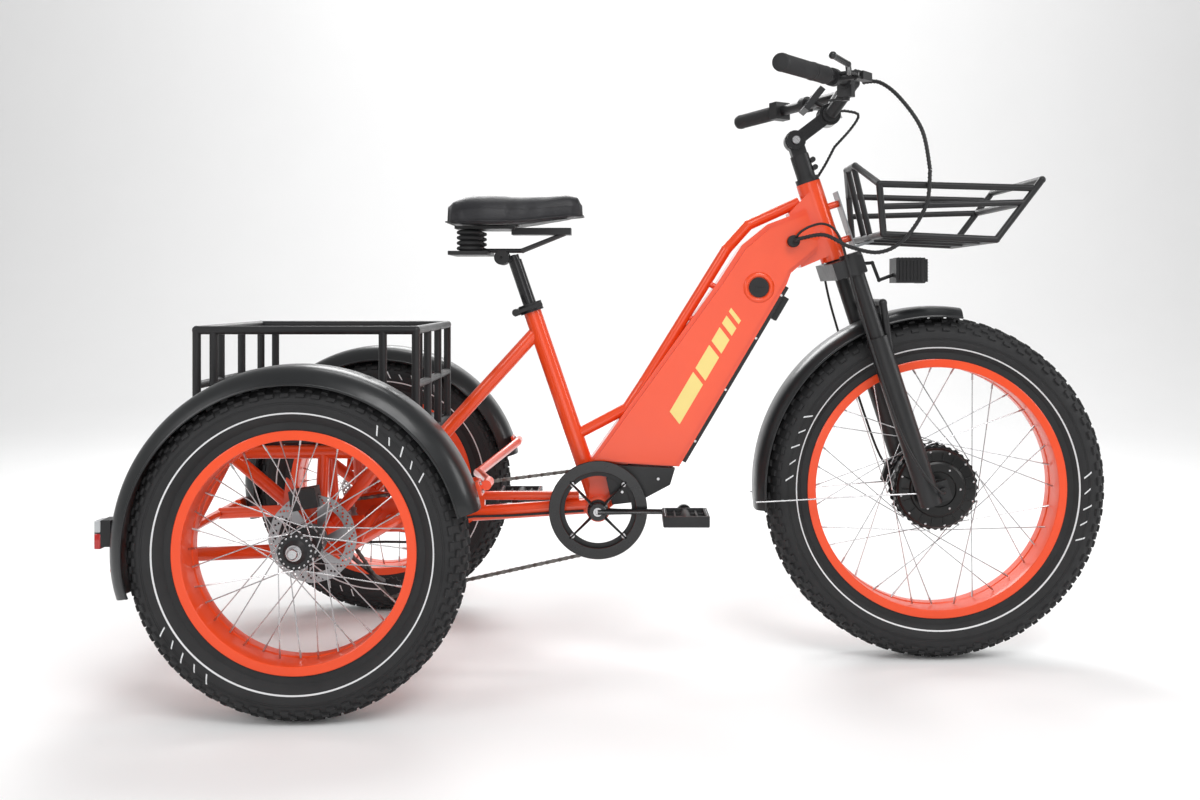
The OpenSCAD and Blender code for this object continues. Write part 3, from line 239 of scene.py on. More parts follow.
CREAM = Finish("cream_graphic", "frame_paint", (0.86, 0.68, 0.22), (0.8, 0.62, 0.19),
               roughness=0.34, spread=0.05, grain_scale=500.0, relief=0.03, coat=0.4)
GLASS = Finish("screen_glass", "plastic", (0.02, 0.022, 0.026), (0.026, 0.028, 0.032),
               roughness=0.09, spread=0.03, grain_scale=300.0, relief=0.01, coat=0.7)


# ---------- mesh tools ----------


@contextmanager
def edited(mesh: bpy.types.Mesh) -> Iterator[bmesh.types.BMesh]:
    """Opens a mesh for editing, and writes the edit back."""
    bm = bmesh.new()
    bm.from_mesh(mesh)
    yield bm
    bm.to_mesh(mesh)
    bm.free()


def finished(name: str, mesh: bpy.types.Mesh, finish: Finish,
             smooth: float) -> bpy.types.Object:
    """Returns a new object of that mesh, shaded and in its finish."""
    made = plain_object(name, mesh)
    mesh.materials.clear()
    mesh.materials.append(finish.material())
    shade(mesh, smooth)
    return made


def piece(name: str, mesh: bpy.types.Mesh, finish: Finish, body: str,
          stands_for: Sequence[str] = (), smooth: float = 35.0) -> bpy.types.Object:
    """Makes a finished piece that rides on a body.

    Args:
        name: the piece's name.
        mesh: its mesh, in the row frame.
        finish: its finish.
        body: the body that it moves with.
        stands_for: CAD nodes that it takes the place of.
        smooth: edges flatter than this angle are shaded smooth, in degrees.

    Returns:
        The piece.
    """
    made = finished(name, mesh, finish, smooth)
    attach(made, body)
    if stands_for:
        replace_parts(made, *stands_for)
    LOG.info("%s: %d faces", name, len(mesh.polygons))
    return made


def plain_object(name: str, mesh: bpy.types.Mesh) -> bpy.types.Object:
    """Returns a new object of that mesh, linked to the scene."""
    made = bpy.data.objects.new(name, mesh)
    mesh.name = name
    bpy.context.scene.collection.objects.link(made)
    return made


def shade(mesh: bpy.types.Mesh, angle: float) -> None:
    """Shades a mesh smooth, with sharp edges where it bends by more than the angle."""
    limit = math.radians(angle)
    with edited(mesh) as bm:
        for face in bm.faces:
            face.smooth = True
        for edge in bm.edges:
            edge.smooth = len(edge.link_faces) == 2 and edge.calc_face_angle(4.0) < limit


def mesh_from(verts: Sequence[Sequence[float]], faces: Sequence[Sequence[int]],
              outward: bool = True) -> bpy.types.Mesh:
    """Returns a mesh of those faces, turned to point outwards."""
    mesh = bpy.data.meshes.new("part")
    mesh.from_pydata([tuple(v) for v in verts], [], [tuple(f) for f in faces])
    if outward:
        with edited(mesh) as bm:
            bmesh.ops.recalc_face_normals(bm, faces=bm.faces)
    mesh.update()
    return mesh


def joined(meshes: Sequence[bpy.types.Mesh]) -> bpy.types.Mesh:
    """Returns one mesh that holds all of those."""
    bm = bmesh.new()
    for mesh in meshes:
        bm.from_mesh(mesh)
    made = bpy.data.meshes.new("part")
    bm.to_mesh(made)
    bm.free()
    return made


def placed(mesh: bpy.types.Mesh, matrix: Matrix) -> bpy.types.Mesh:
    """Returns a copy of the mesh under that transform."""
    made = mesh.copy()
    made.transform(matrix)
    if matrix.determinant() < 0:
        made.flip_normals()
    return made


def mirrored(mesh: bpy.types.Mesh) -> bpy.types.Mesh:
    """Returns the mesh's copy on the other side of the middle plane."""
    return placed(mesh, Matrix.Scale(-1.0, 4, (0.0, 1.0, 0.0)))


def skin(rings: Sequence[Sequence[Sequence[float]]], closed: bool = True,
         loop: bool = False, caps: bool = True) -> bpy.types.Mesh:
    """Skins a row of rings that have the same number of points.

    Args:
        rings: the rings, each a list of points.
        closed: each ring joins its last point to its first.
        loop: the last ring joins the first.
        caps: the end rings are filled.

    Returns:
        The mesh.
    """
    size = len(rings[0])
    verts = [p for ring in rings for p in ring]
    faces: list[list[int]] = []
    around = size if closed else size - 1
    rows = len(rings) if loop else len(rings) - 1
    for i in range(rows):
        a, b = i * size, ((i + 1) % len(rings)) * size
        for k in range(around):
            n = (k + 1) % size
            faces.append([a + k, a + n, b + n, b + k])
    if caps and closed and not loop:
        faces.append(list(range(size)))
        faces.append([(len(rings) - 1) * size + k for k in range(size)])
    return mesh_from(verts, faces)


def revolved(profile: Sequence[tuple[float, float]], centre: Sequence[float],
             steps: int = 96, closed: bool = True, start: float = 0.0,
             sweep: float = 360.0) -> bpy.types.Mesh:
    """Turns a profile about an axis that runs along Y.

    Args:
        profile: points of (place along the axis, radius), in mm.
        centre: the axis's place, in mm.
        steps: sections round the full circle.
        closed: the profile is a closed outline.
        start: angle of the first section from straight ahead, in degrees.
        sweep: angle that is covered, in degrees.

    Returns:
        The mesh, in metres.
    """
    full = abs(sweep - 360.0) < 0.01
    count = steps if full else steps + 1
    rings = []
    for i in range(count):
        a = math.radians(start + sweep * i / steps)
        rings.append([((centre[0] + r * math.cos(a)) * MM, (centre[1] + y) * MM,
                       (centre[2] + r * math.sin(a)) * MM) for y, r in profile])
    made = skin(rings, closed=closed, loop=full, caps=closed)
    if closed:
        return made
    with edited(made) as bm:
        bmesh.ops.remove_doubles(bm, verts=bm.verts, dist=1e-6)
        bmesh.ops.recalc_face_normals(bm, faces=bm.faces)
    return made


def route(points: Sequence[Sequence[float]], steps: int) -> list[Vector]:
    """Returns a smooth run of points through the given ones."""
    path: list[Vector] = []
    p = [Vector(q) for q in points]
    last = len(p) - 1
    for i in range(last):
        a, b, c, d = p[max(i - 1, 0)], p[i], p[i + 1], p[min(i + 2, last)]
        for k in range(steps):
            t = k / steps
            path.append(0.5 * (2 * b + (c - a) * t + (2 * a - 5 * b + 4 * c - d) * t * t
                               + (3 * b - a - 3 * c + d) * t ** 3))
    path.append(p[last])
    return path


def tube(path: Sequence[Sequence[float]], radius: float | Sequence[float], sides: int = 16,
         flat: float = 1.0) -> bpy.types.Mesh:
    """Sweeps a round or flattened section along a path.

    Args:
        path: points in mm.
        radius: one radius, or one for each point, in mm.
        sides: points round the section.
        flat: height of the section over its width.

    Returns:
        The mesh, in metres.
    """
    p = [Vector(q) for q in path]
    last = len(p) - 1
    radii = [radius] * len(p) if isinstance(radius, (int, float)) else list(radius)
    rings = []
    side = Vector((0.0, 1.0, 0.0))
    if abs((p[last] - p[0]).normalized().y) > 0.9:
        side = Vector((1.0, 0.0, 0.0))
    for i, q in enumerate(p):
        along = (p[min(i + 1, last)] - p[max(i - 1, 0)]).normalized()
        u = (side - along * side.dot(along)).normalized()
        v = along.cross(u)
        side = u
        rings.append([(q + radii[i] * (math.cos(a) * u + flat * math.sin(a) * v)) * MM
                      for a in (2 * math.pi * k / sides for k in range(sides))])
    return skin(rings)


def block(low: Sequence[float], high: Sequence[float], round_off: float = 0.0,
          segments: int = 2) -> bpy.types.Mesh:
    """Returns a box between two corners in mm, with its edges rounded off."""
    bm = bmesh.new()
    bmesh.ops.create_cube(bm, size=1.0)
    for v in bm.verts:
        v.co = Vector([(low[k] + (high[k] - low[k]) * (v.co[k] + 0.5)) * MM
                       for k in range(3)])
    if round_off:
        bmesh.ops.bevel(bm, geom=bm.edges, offset=round_off * MM, segments=segments,
                        profile=0.5, affect="EDGES")
    mesh = bpy.data.meshes.new("part")
    bm.to_mesh(mesh)
    bm.free()
    return mesh


def cutout(loops: Sequence[Sequence[tuple[float, float]]], centre: Sequence[float],
           thickness: float, edge: float = 0.3) -> bpy.types.Mesh:
    """Fills an outline with holes and gives it thickness, across the Y axis.

    Args:
        loops: the outline and its holes, as points of (x, z) from the centre, in mm.
        centre: the middle of the plate, in mm.
        thickness: thickness of the plate, in mm.
        edge: rounding of its edges, in mm.

    Returns:
        The mesh, in metres.
    """
    curve = bpy.data.curves.new("outline", "CURVE")
    curve.dimensions = "2D"
    curve.fill_mode = "BOTH"
    curve.extrude = (thickness / 2 - edge) * MM
    curve.bevel_depth = edge * MM
    curve.bevel_resolution = 0
    curve.offset = -edge * MM
    for loop in loops:
        spline = curve.splines.new("POLY")
        spline.points.add(len(loop) - 1)
        for point, (x, z) in zip(spline.points, loop):
            point.co = (x * MM, z * MM, 0.0, 1.0)
        spline.use_cyclic_u = True
    holder = bpy.data.objects.new("outline", curve)
    bpy.context.scene.collection.objects.link(holder)
    bpy.context.view_layer.update()
    made = bpy.data.meshes.new_from_object(
        holder.evaluated_get(bpy.context.evaluated_depsgraph_get()))
    bpy.data.objects.remove(holder)
    bpy.data.curves.remove(curve)
    made.transform(Matrix.Translation(Vector(centre) * MM)
                   @ Matrix.Rotation(math.radians(90.0), 4, "X"))
    with edited(made) as bm:
        bmesh.ops.remove_doubles(bm, verts=bm.verts, dist=2e-6)
        bmesh.ops.recalc_face_normals(bm, faces=bm.faces)
    made.materials.clear()
    return made


def polar(r: float, a: float) -> tuple[float, float]:
    """Returns the (x, z) of a radius and an angle."""
    return (r * math.cos(a), r * math.sin(a))


def eased(stops: Sequence[tuple[float, float]], share: float) -> float:
    """Returns the value at that share of a row of (share, value), smoothly joined."""
    for (a, p), (b, q) in zip(stops, stops[1:]):
        if share <= b:
            t = (share - a) / (b - a)
            return p + (q - p) * t * t * (3 - 2 * t)
    return stops[-1][1]


def circle(r: float, count: int, x: float = 0.0, z: float = 0.0,
           phase: float = 0.0) -> list[tuple[float, float]]:
    """Returns a circle's points as (x, z), in mm."""
    return [(x + r * math.cos(2 * math.pi * k / count + phase),
             z + r * math.sin(2 * math.pi * k / count + phase)) for k in range(count)]


def cad_mesh(node: str, weld: float = 0.02) -> bpy.types.Mesh:
    """Returns a merged copy of a CAD node's mesh."""
    made = frame["nodes"][node].data.copy()
    with edited(made) as bm:
        bmesh.ops.remove_doubles(bm, verts=bm.verts, dist=weld * MM)
        bmesh.ops.dissolve_limit(bm, angle_limit=math.radians(1.0), verts=bm.verts,
                                 edges=bm.edges)
    made.materials.clear()
    return made


def dressed(node: str, finish: Finish, body: str, soften: float = 0.8,
            smooth: float = 32.0) -> bpy.types.Object:
    """Shows a CAD node as a piece with softened edges.

    Args:
        node: the CAD node.
        finish: its finish.
        body: the body that it rides on.
        soften: width of its edge rounding, in mm.
        smooth: angle under which edges are shaded smooth, in degrees.

    Returns:
        The piece.
    """
    made = piece(f"{node}_body", cad_mesh(node), finish, body, [node], smooth)
    if soften:
        bevel = made.modifiers.new("soft_edges", "BEVEL")
        bevel.width = soften * MM
        bevel.segments = 2
        bevel.limit_method = "ANGLE"
        bevel.angle_limit = math.radians(smooth)
        bevel.use_clamp_overlap = True
        bevel.harden_normals = True
    return made


# ---------- geometry nodes ----------


class Tree:
    """A geometry node tree under construction."""

    def __init__(self, name: str, sizes: dict[str, str]) -> None:
        """Makes an empty tree with named inputs.

        Args:
            name: the tree's name.
            sizes: each input's name and socket type.
        """
        self.group = bpy.data.node_groups.new(name, "GeometryNodeTree")
        face = self.group.interface
        face.new_socket("Geometry", in_out="INPUT", socket_type="NodeSocketGeometry")
        for label, kind in sizes.items():
            face.new_socket(label, in_out="INPUT", socket_type=kind)
        face.new_socket("Geometry", in_out="OUTPUT", socket_type="NodeSocketGeometry")
        self.inputs = self.group.nodes.new("NodeGroupInput").outputs
        self.end = self.group.nodes.new("NodeGroupOutput").inputs[0]

    def add(self, kind: str, links: Optional[dict] = None, **settings) -> bpy.types.Node:
        """Adds a node.

        Args:
            kind: the node's type.
            links: socket name or number to a value, or to another node's output.
            settings: the node's own settings.

        Returns:
            The node.
        """
        node = self.group.nodes.new(kind)
        for key, value in settings.items():
            setattr(node, key, value)
        for key, value in (links or {}).items():
            if isinstance(value, bpy.types.NodeSocket):
                self.group.links.new(value, node.inputs[key])
            else:
                node.inputs[key].default_value = value
        return node

    def math(self, operation: str, a, b=0.0):
        """Returns the output of a math node."""
        return self.add("ShaderNodeMath", {0: a, 1: b}, operation=operation).outputs[0]

    def finish(self, geometry) -> bpy.types.NodeTree:
        """Closes the tree with realized instances and their material."""
        real = self.add("GeometryNodeRealizeInstances", {0: geometry})
        done = self.add("GeometryNodeSetMaterial",
                        {"Geometry": real.outputs[0], "Material": self.inputs["Finish"]})
        self.group.links.new(done.outputs[0], self.end)
        return self.group


def ring_tree() -> bpy.types.NodeTree:
    """Returns the tree that stands copies of an item round a circle."""
    tree = Tree("ring_of_items", {
        "Count": "NodeSocketInt", "Radius": "NodeSocketFloat", "Side": "NodeSocketFloat",
        "Phase": "NodeSocketFloat", "Item": "NodeSocketObject",
        "Finish": "NodeSocketMaterial"})
    index = tree.add("GeometryNodeInputIndex").outputs[0]
    share = tree.math("DIVIDE", index, tree.inputs["Count"])
    angle = tree.math("ADD", tree.math("MULTIPLY", share, 2 * math.pi),
                      tree.inputs["Phase"])
    spot = tree.add("ShaderNodeCombineXYZ", {
        0: tree.math("MULTIPLY", tree.math("COSINE", angle), tree.inputs["Radius"]),
        1: tree.inputs["Side"],
        2: tree.math("MULTIPLY", tree.math("SINE", angle), tree.inputs["Radius"])})
    points = tree.add("GeometryNodePoints",
                      {"Count": tree.inputs["Count"], "Position": spot.outputs[0]})
    item = tree.add("GeometryNodeObjectInfo", {"Object": tree.inputs["Item"]})
    turn = tree.add("ShaderNodeCombineXYZ", {1: tree.math("MULTIPLY", angle, -1.0)})
    copies = tree.add("GeometryNodeInstanceOnPoints", {
        "Points": points.outputs[0], "Instance": item.outputs["Geometry"],
        "Rotation": turn.outputs[0]})
    return tree.finish(copies.outputs[0])


def rod_tree() -> bpy.types.NodeTree:
    """Returns the tree that turns edges into round rods."""
    tree = Tree("rods_on_lines", {"Radius": "NodeSocketFloat", "Sides": "NodeSocketInt",
                                  "Finish": "NodeSocketMaterial"})
    curve = tree.add("GeometryNodeMeshToCurve", {0: tree.inputs["Geometry"]})
    section = tree.add("GeometryNodeCurvePrimitiveCircle", {
        "Resolution": tree.inputs["Sides"], "Radius": tree.inputs["Radius"]})
    rods = tree.add("GeometryNodeCurveToMesh", {
        "Curve": curve.outputs[0], "Profile Curve": section.outputs[0],
        "Fill Caps": True})
    return tree.finish(rods.outputs[0])


def path_tree() -> bpy.types.NodeTree:
    """Returns the tree that strings two kinds of item in turn along a closed line."""
    tree = Tree("items_on_path", {
        "Count": "NodeSocketInt", "First": "NodeSocketObject",
        "Second": "NodeSocketObject", "Finish": "NodeSocketMaterial"})
    curve = tree.add("GeometryNodeMeshToCurve", {0: tree.inputs["Geometry"]})
    points = tree.add("GeometryNodeCurveToPoints", {
        "Curve": curve.outputs[0], "Count": tree.inputs["Count"]})
    turn = tree.add("FunctionNodeAlignRotationToVector",
                    {"Vector": points.outputs["Tangent"]}, axis="X", pivot_axis="Y")
    index = tree.add("GeometryNodeInputIndex").outputs[0]
    odd = tree.math("MODULO", index, 2.0)
    both = tree.add("GeometryNodeJoinGeometry")
    for label, chosen in (("First", odd), ("Second", tree.math("SUBTRACT", 1.0, odd))):
        item = tree.add("GeometryNodeObjectInfo", {"Object": tree.inputs[label]})
        copies = tree.add("GeometryNodeInstanceOnPoints", {
            "Points": points.outputs["Points"], "Selection": chosen,
            "Instance": item.outputs["Geometry"], "Rotation": turn.outputs[0]})
        tree.group.links.new(copies.outputs[0], both.inputs[0])
    return tree.finish(both.outputs[0])


def wrap_tree() -> bpy.types.NodeTree:
    """Returns the tree that winds a strip round a line."""
    tree = Tree("wound_strip", {
        "Radius": "NodeSocketFloat", "Pitch": "NodeSocketFloat",
        "Strip": "NodeSocketFloat", "Finish": "NodeSocketMaterial"})
    curve = tree.add("GeometryNodeMeshToCurve", {0: tree.inputs["Geometry"]})
    fine = tree.add("GeometryNodeResampleCurve", {
        "Curve": curve.outputs[0],
        "Length": tree.math("DIVIDE", tree.inputs["Pitch"], 10.0)}, mode="LENGTH")
    length = tree.add("GeometryNodeSplineParameter").outputs["Length"]
    angle = tree.math("MULTIPLY", tree.math("DIVIDE", length, tree.inputs["Pitch"]),
                      2 * math.pi)
    normal = tree.add("GeometryNodeInputNormal").outputs["Normal"]
    tangent = tree.add("GeometryNodeInputTangent").outputs["Tangent"]
    cross = tree.add("ShaderNodeVectorMath", {0: tangent, 1: normal},
                     operation="CROSS_PRODUCT").outputs[0]
    parts = [tree.add("ShaderNodeVectorMath", {0: axis, "Scale": tree.math(
        "MULTIPLY", tree.math(kind, angle), tree.inputs["Radius"])},
        operation="SCALE").outputs[0] for axis, kind in ((normal, "COSINE"), (cross, "SINE"))]
    offset = tree.add("ShaderNodeVectorMath", {0: parts[0], 1: parts[1]},
                      operation="ADD").outputs[0]
    wound = tree.add("GeometryNodeSetPosition",
                     {"Geometry": fine.outputs[0], "Offset": offset})
    section = tree.add("GeometryNodeCurvePrimitiveCircle",
                       {"Resolution": 6, "Radius": tree.inputs["Strip"]})
    strip = tree.add("GeometryNodeCurveToMesh", {
        "Curve": wound.outputs[0], "Profile Curve": section.outputs[0],
        "Fill Caps": True})
    return tree.finish(strip.outputs[0])


class Nodes:
    """Runs the node trees and returns plain meshes."""

    trees: dict[str, bpy.types.NodeTree] = {}

    @classmethod
    def run(cls, make: Callable[[], bpy.types.NodeTree], base: bpy.types.Mesh,
            **sizes) -> bpy.types.Mesh:
        """Runs a tree on a base mesh.

        Args:
            make: the function that makes the tree.
            base: the mesh that it starts from.
            sizes: the tree's inputs by name; a mesh is passed as an item.

        Returns:
            The result as a plain mesh.
        """
        if make.__name__ not in cls.trees:
            cls.trees[make.__name__] = make()
        tree = cls.trees[make.__name__]
        holder = plain_object("holder", base)
        modifier = holder.modifiers.new("nodes", "NODES")
        modifier.node_group = tree
        items = []
        for socket in tree.interface.items_tree:
            if socket.in_out != "INPUT" or socket.name not in sizes:
                continue
            value = sizes[socket.name]
            if isinstance(value, bpy.types.Mesh):
                value = plain_object("item", value)
                items.append(value)
            modifier[socket.identifier] = value
        bpy.context.view_layer.update()
        made = bpy.data.meshes.new_from_object(
            holder.evaluated_get(bpy.context.evaluated_depsgraph_get()))
        for extra in [holder, *items]:
            bpy.data.objects.remove(extra)
        return made

    @classmethod
    def ring(cls, item: bpy.types.Mesh, count: int, radius: float, side: float,
             centre: Sequence[float], finish: Finish, phase: float = 0.0) -> bpy.types.Mesh:
        """Returns copies of an item round a wheel-like circle; sizes in mm, phase in turns."""
        made = cls.run(ring_tree, mesh_from([], []), Count=count, Radius=radius * MM,
                       Side=side * MM, Phase=phase * 2 * math.pi, Item=item,
                       Finish=finish.material())
        made.transform(Matrix.Translation(Vector(centre) * MM))
        return made

    @classmethod
    def rods(cls, lines: Sequence[tuple[Sequence[float], Sequence[float]]], radius: float,
             finish: Finish, sides: int = 8) -> bpy.types.Mesh:
        """Returns round rods along straight lines given in mm."""
        base = bpy.data.meshes.new("lines")
        ends = [tuple(Vector(p) * MM) for line in lines for p in line]
        base.from_pydata(ends, [(2 * i, 2 * i + 1) for i in range(len(lines))], [])
        return cls.run(rod_tree, base, Radius=radius * MM, Sides=sides,
                       Finish=finish.material())

    @classmethod
    def wound(cls, path: Sequence[Vector], radius: float, pitch: float, strip: float,
              finish: Finish) -> bpy.types.Mesh:
        """Returns a strip wound round a path; sizes in mm."""
        base = bpy.data.meshes.new("line")
        base.from_pydata([tuple(p * MM) for p in path],
                         [(i, i + 1) for i in range(len(path) - 1)], [])
        return cls.run(wrap_tree, base, Radius=radius * MM, Pitch=pitch * MM,
                       Strip=strip * MM, Finish=finish.material())


def turned(profile: Sequence[tuple[float, float]], base: Sequence[float],
           axis: Sequence[float], steps: int = 48, closed: bool = True) -> bpy.types.Mesh:
    """Turns a profile of (distance, radius) about any axis; sizes in mm."""
    made = revolved(profile, (0.0, 0.0, 0.0), steps, closed)
    turn = Vector((0.0, 1.0, 0.0)).rotation_difference(Vector(axis).normalized())
    made.transform(Matrix.Translation(Vector(base) * MM) @ turn.to_matrix().to_4x4())
    return made


def bent(name: str, mesh: bpy.types.Mesh, finish: Finish,
         stands_for: Sequence[str] = (),
         smooth: float = 50.0) -> bpy.types.Object:
    """Makes a piece that rides on no body, with its transform baked into its mesh.

    Args:
        name: the piece's name.
        mesh: its mesh, in the row frame.
        finish: its finish.
        stands_for: CAD nodes that it takes the place of.
        smooth: edges flatter than this angle are shaded smooth, in degrees.

    Returns:
        The piece.
    """
    made = finished(name, mesh, finish, smooth)
    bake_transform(made)
    if stands_for:
        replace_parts(made, *stands_for)
    return made


# ---------- wheels ----------


class Side(Enum):
    """Which way a wheel's outer face looks."""

    RIGHT = -1
    LEFT = 1


@dataclass
class Wheel:
    """A spoked wheel: tyre, rim and spokes, sizes in mm."""

    name: str
    body: str
    centre: Point
    rim_r: float
    tyre_r: float
    ring_r: float
    flange_r: float
    flange_y: float
    side: Side = Side.RIGHT
    marks: tuple[float, float] = (120.0, -62.0)
    half: float = 50.0
    rim_half: float = 40.0
    lip: float = 17.0
    knob_h: float = 4.4
    knobs: int = 64
    spokes: int = 36

    def build(self) -> None:
        """Makes the wheel's pieces."""
        self.tyre()
        self.rim()
        self.lacing()

    def wall_y(self, r: float) -> float:
        """Returns the casing's half width at that radius."""
        mid = (self.rim_r + self.tyre_r) / 2
        share = (r - mid) / (self.tyre_r - mid)
        return self.half * math.sqrt(max(0.0, 1.0 - share * share))

    def casing(self) -> bpy.types.Mesh:
        """Returns the tyre's casing, hollow over the rim."""
        mid = (self.rim_r + self.tyre_r) / 2
        high = self.tyre_r - mid
        bead = self.rim_half - 3.4
        foot = self.rim_r - self.lip + 3.5
        first = math.asin(bead / self.half)
        outer, inner = [(bead, foot)], []
        steps = 44
        for i in range(steps + 1):
            a = first + (2 * math.pi - 2 * first) * i / steps
            lift = high - self.knob_h * max(0.0, min(1.0, (-math.cos(a) - 0.2) / 0.35))
            outer.append((self.half * math.sin(a), mid - lift * math.cos(a)))
        for i in range(25):
            a = 2 * math.pi - first - (2 * math.pi - 2 * first) * i / 24
            inner.append(((self.half - 8) * math.sin(a), mid - (high - 9) * math.cos(a)))
        outer += [(-bead, foot), (-bead + 7, foot)]
        return revolved(outer + inner + [(bead - 7, foot)], self.centre, 160)

    def knob(self, length: float, width: float, tilt: float, skew: float) -> bpy.types.Mesh:
        """Returns one tread block; X is outwards and Z along the tread."""
        bm = bmesh.new()
        bmesh.ops.create_cube(bm, size=1.0)
        for v in bm.verts:
            top = v.co.x > 0
            taper = 0.82 if top else 1.0
            v.co = Vector(((self.knob_h - 0.3 if top else -2.5) * MM,
                           v.co.y * width * taper * MM, v.co.z * length * taper * MM))
        bmesh.ops.bevel(bm, geom=[e for e in bm.edges if all(v.co.x > 0 for v in e.verts)],
                        offset=0.7 * MM, segments=1, affect="EDGES")
        made = bpy.data.meshes.new("knob")
        bm.to_mesh(made)
        bm.free()
        made.transform(Matrix.Rotation(tilt, 4, "Z") @ Matrix.Rotation(skew, 4, "X"))
        return made

    def tyre(self) -> None:
        """Makes the tyre with its tread, thin ring and side marks."""
        mid = (self.rim_r + self.tyre_r) / 2
        high = self.tyre_r - mid - self.knob_h
        rows = [(8.5, 15.0, 13.0, 0.0, 0.16), (24.0, 14.0, 12.0, 0.5, -0.12),
                (37.0, 14.0, 10.5, 0.0, 0.1), (45.2, 17.0, 8.0, 0.5, 0.0)]
        parts = [self.casing()]
        for y, length, width, phase, skew in rows:
            for way in (-1, 1):
                r = mid + high * math.sqrt(1 - (y / self.half) ** 2)
                tilt = math.atan2(y / self.half ** 2, (r - mid) / high ** 2)
                item = self.knob(length, width, way * tilt, way * skew)
                shift = phase + (0.5 if way > 0 and y < 10 else 0.0)
                parts.append(Nodes.ring(item, self.knobs, r, way * y, self.centre, TYRE,
                                        shift / self.knobs))
        for r in (self.rim_r + 7, self.ring_r + 16, self.ring_r + 19):
            for way in (-1, 1):
                y = way * self.wall_y(r)
                parts.append(revolved([(y - way * 1.0, r - 0.7), (y + way * 0.5, r),
                                       (y - way * 1.0, r + 0.7)], self.centre, 120))
        piece(f"{self.name}_tyre", joined(parts), TYRE, self.body, [self.node("tire")], 30.0)
        bands = []
        for way in (-1, 1):
            low, high_y = (way * self.wall_y(self.ring_r + d) for d in (-1.3, 1.3))
            bands.append(revolved([(low - way, self.ring_r - 1.3), (low + way * 0.4,
                                   self.ring_r - 1.3), (high_y + way * 0.4,
                                   self.ring_r + 1.3), (high_y - way, self.ring_r + 1.3)],
                                  self.centre, 160))
            bands += [self.mark(math.radians(base + 6.2 * k), way, length)
                      for base in self.marks for k, length in
                      enumerate((15.0, 11.0, 15.0, 11.0, 15.0))]
        piece(f"{self.name}_tyre_bands", joined(bands), WHITE_RING, self.body)

    def mark(self, angle: float, way: int, length: float) -> bpy.types.Mesh:
        """Returns one plain slanted bar on the side wall."""
        rings = []
        for i in range(4):
            r = self.ring_r + 8 + length * i / 3
            y = way * self.wall_y(r)
            a = angle + 0.012 * i
            ring = []
            for out, turn in ((-1.0, -0.011), (0.35, -0.011), (0.35, 0.0), (-1.0, 0.0)):
                ring.append(((self.centre[0] + r * math.cos(a + turn)) * MM,
                             (self.centre[1] + y + way * out) * MM,
                             (self.centre[2] + r * math.sin(a + turn)) * MM))
            rings.append(ring)
        return skin(rings)

    def node(self, part: str) -> str:
        """Returns the name of the wheel's CAD node for that part."""
        return f"{self.name}_{part}"

    def rim(self) -> None:
        """Makes the rim with its rounded lips and spoke bed."""
        r, h, low = self.rim_r, self.rim_half, self.rim_r - self.lip
        half = [(h - 3, low + 3.2), (h - 3, r - 1.6), (h - 2.2, r - 0.2), (h - 0.8, r - 0.2),
                (h, r - 1.6), (h, low + 2.0), (h - 0.7, low + 0.5), (h - 2.5, low),
                (17, low), (14, low + 1.6), (10, low + 1.6)]
        profile = half + [(-y, q) for y, q in reversed(half)]
        piece(f"{self.name}_rim", revolved(profile, self.centre, 180), RIM_ORANGE,
              self.body, [self.node("rim")], 24.0)

    def lines(self) -> list[tuple[Vector, Vector]]:
        """Returns each spoke's two ends."""
        made = []
        head_r = self.flange_r + 1.4
        end_r = self.rim_r - self.lip - 0.5
        for i in range(self.spokes):
            way = 1 if i % 2 == 0 else -1
            lean = 1 if (i // 2) % 2 == 0 else -1
            end_a = math.radians(360 * i / self.spokes)
            head_a = end_a + lean * math.radians(62)
            out = self.flange_y + 3.2 * lean
            ends = [Vector((head_r * math.cos(head_a), -way * out, head_r * math.sin(head_a))),
                    Vector((end_r * math.cos(end_a), -way * 5.0, end_r * math.sin(end_a)))]
            if self.side is Side.LEFT:
                ends = [Vector((e.x, -e.y, e.z)) for e in ends]
            made.append(tuple(e + Vector(self.centre) for e in ends))
        return made

    def lacing(self) -> None:
        """Makes the spokes, their heads and their nipples."""
        lines = self.lines()
        spokes = Nodes.rods(lines, 1.05, STEEL, 8)
        nipples = Nodes.rods([(b + (a - b).normalized() * 13, b) for a, b in lines], 1.9,
                             STEEL, 8)
        heads = Nodes.rods([(a + (b - a).normalized() * 3, a - (b - a).normalized() * 1.5)
                            for a, b in lines], 2.1, STEEL, 8)
        piece(f"{self.name}_spokes_set", joined([spokes, nipples, heads]), STEEL, self.body,
              [self.node("spokes")], 40.0)


def brake_rotor(centre: Sequence[float], arms: int = 6) -> bpy.types.Mesh:
    """Returns a perforated brake rotor with curved arms; sizes in mm."""
    turns = [2 * math.pi * k / 144 for k in range(144)]
    outline = [polar(79.2 + 0.7 * math.cos(12 * a), a) for a in turns]
    loops = [outline, circle(17.5, 32)]
    for k in range(arms):
        a0 = 2 * math.pi * k / arms
        spans = [(27.0, 0.2, 0.85), (45.0, 0.32, 0.93), (61.0, 0.36, 0.97)]
        low = [(r, a0 + s * 2 * math.pi / arms) for r, s, _ in spans]
        high = [(r, a0 + e * 2 * math.pi / arms) for r, _, e in reversed(spans)]
        arc = [(61.0, a0 + (0.36 + 0.61 * i / 6) * 2 * math.pi / arms) for i in range(1, 6)]
        base = [(27.0, a0 + (0.85 - 0.65 * i / 5) * 2 * math.pi / arms) for i in range(1, 5)]
        loops.append([polar(r, a) for r, a in low + arc + high + base])
    for k in range(30):
        a = 2 * math.pi * k / 30
        for r, turn, hole in ((67.0, 0.0, 2.1), (71.2, 0.07, 2.1), (75.2, 0.14, 1.7)):
            loops.append(circle(hole, 10, *polar(r, a + turn)))
    return cutout(loops, centre, 2.0, 0.15)


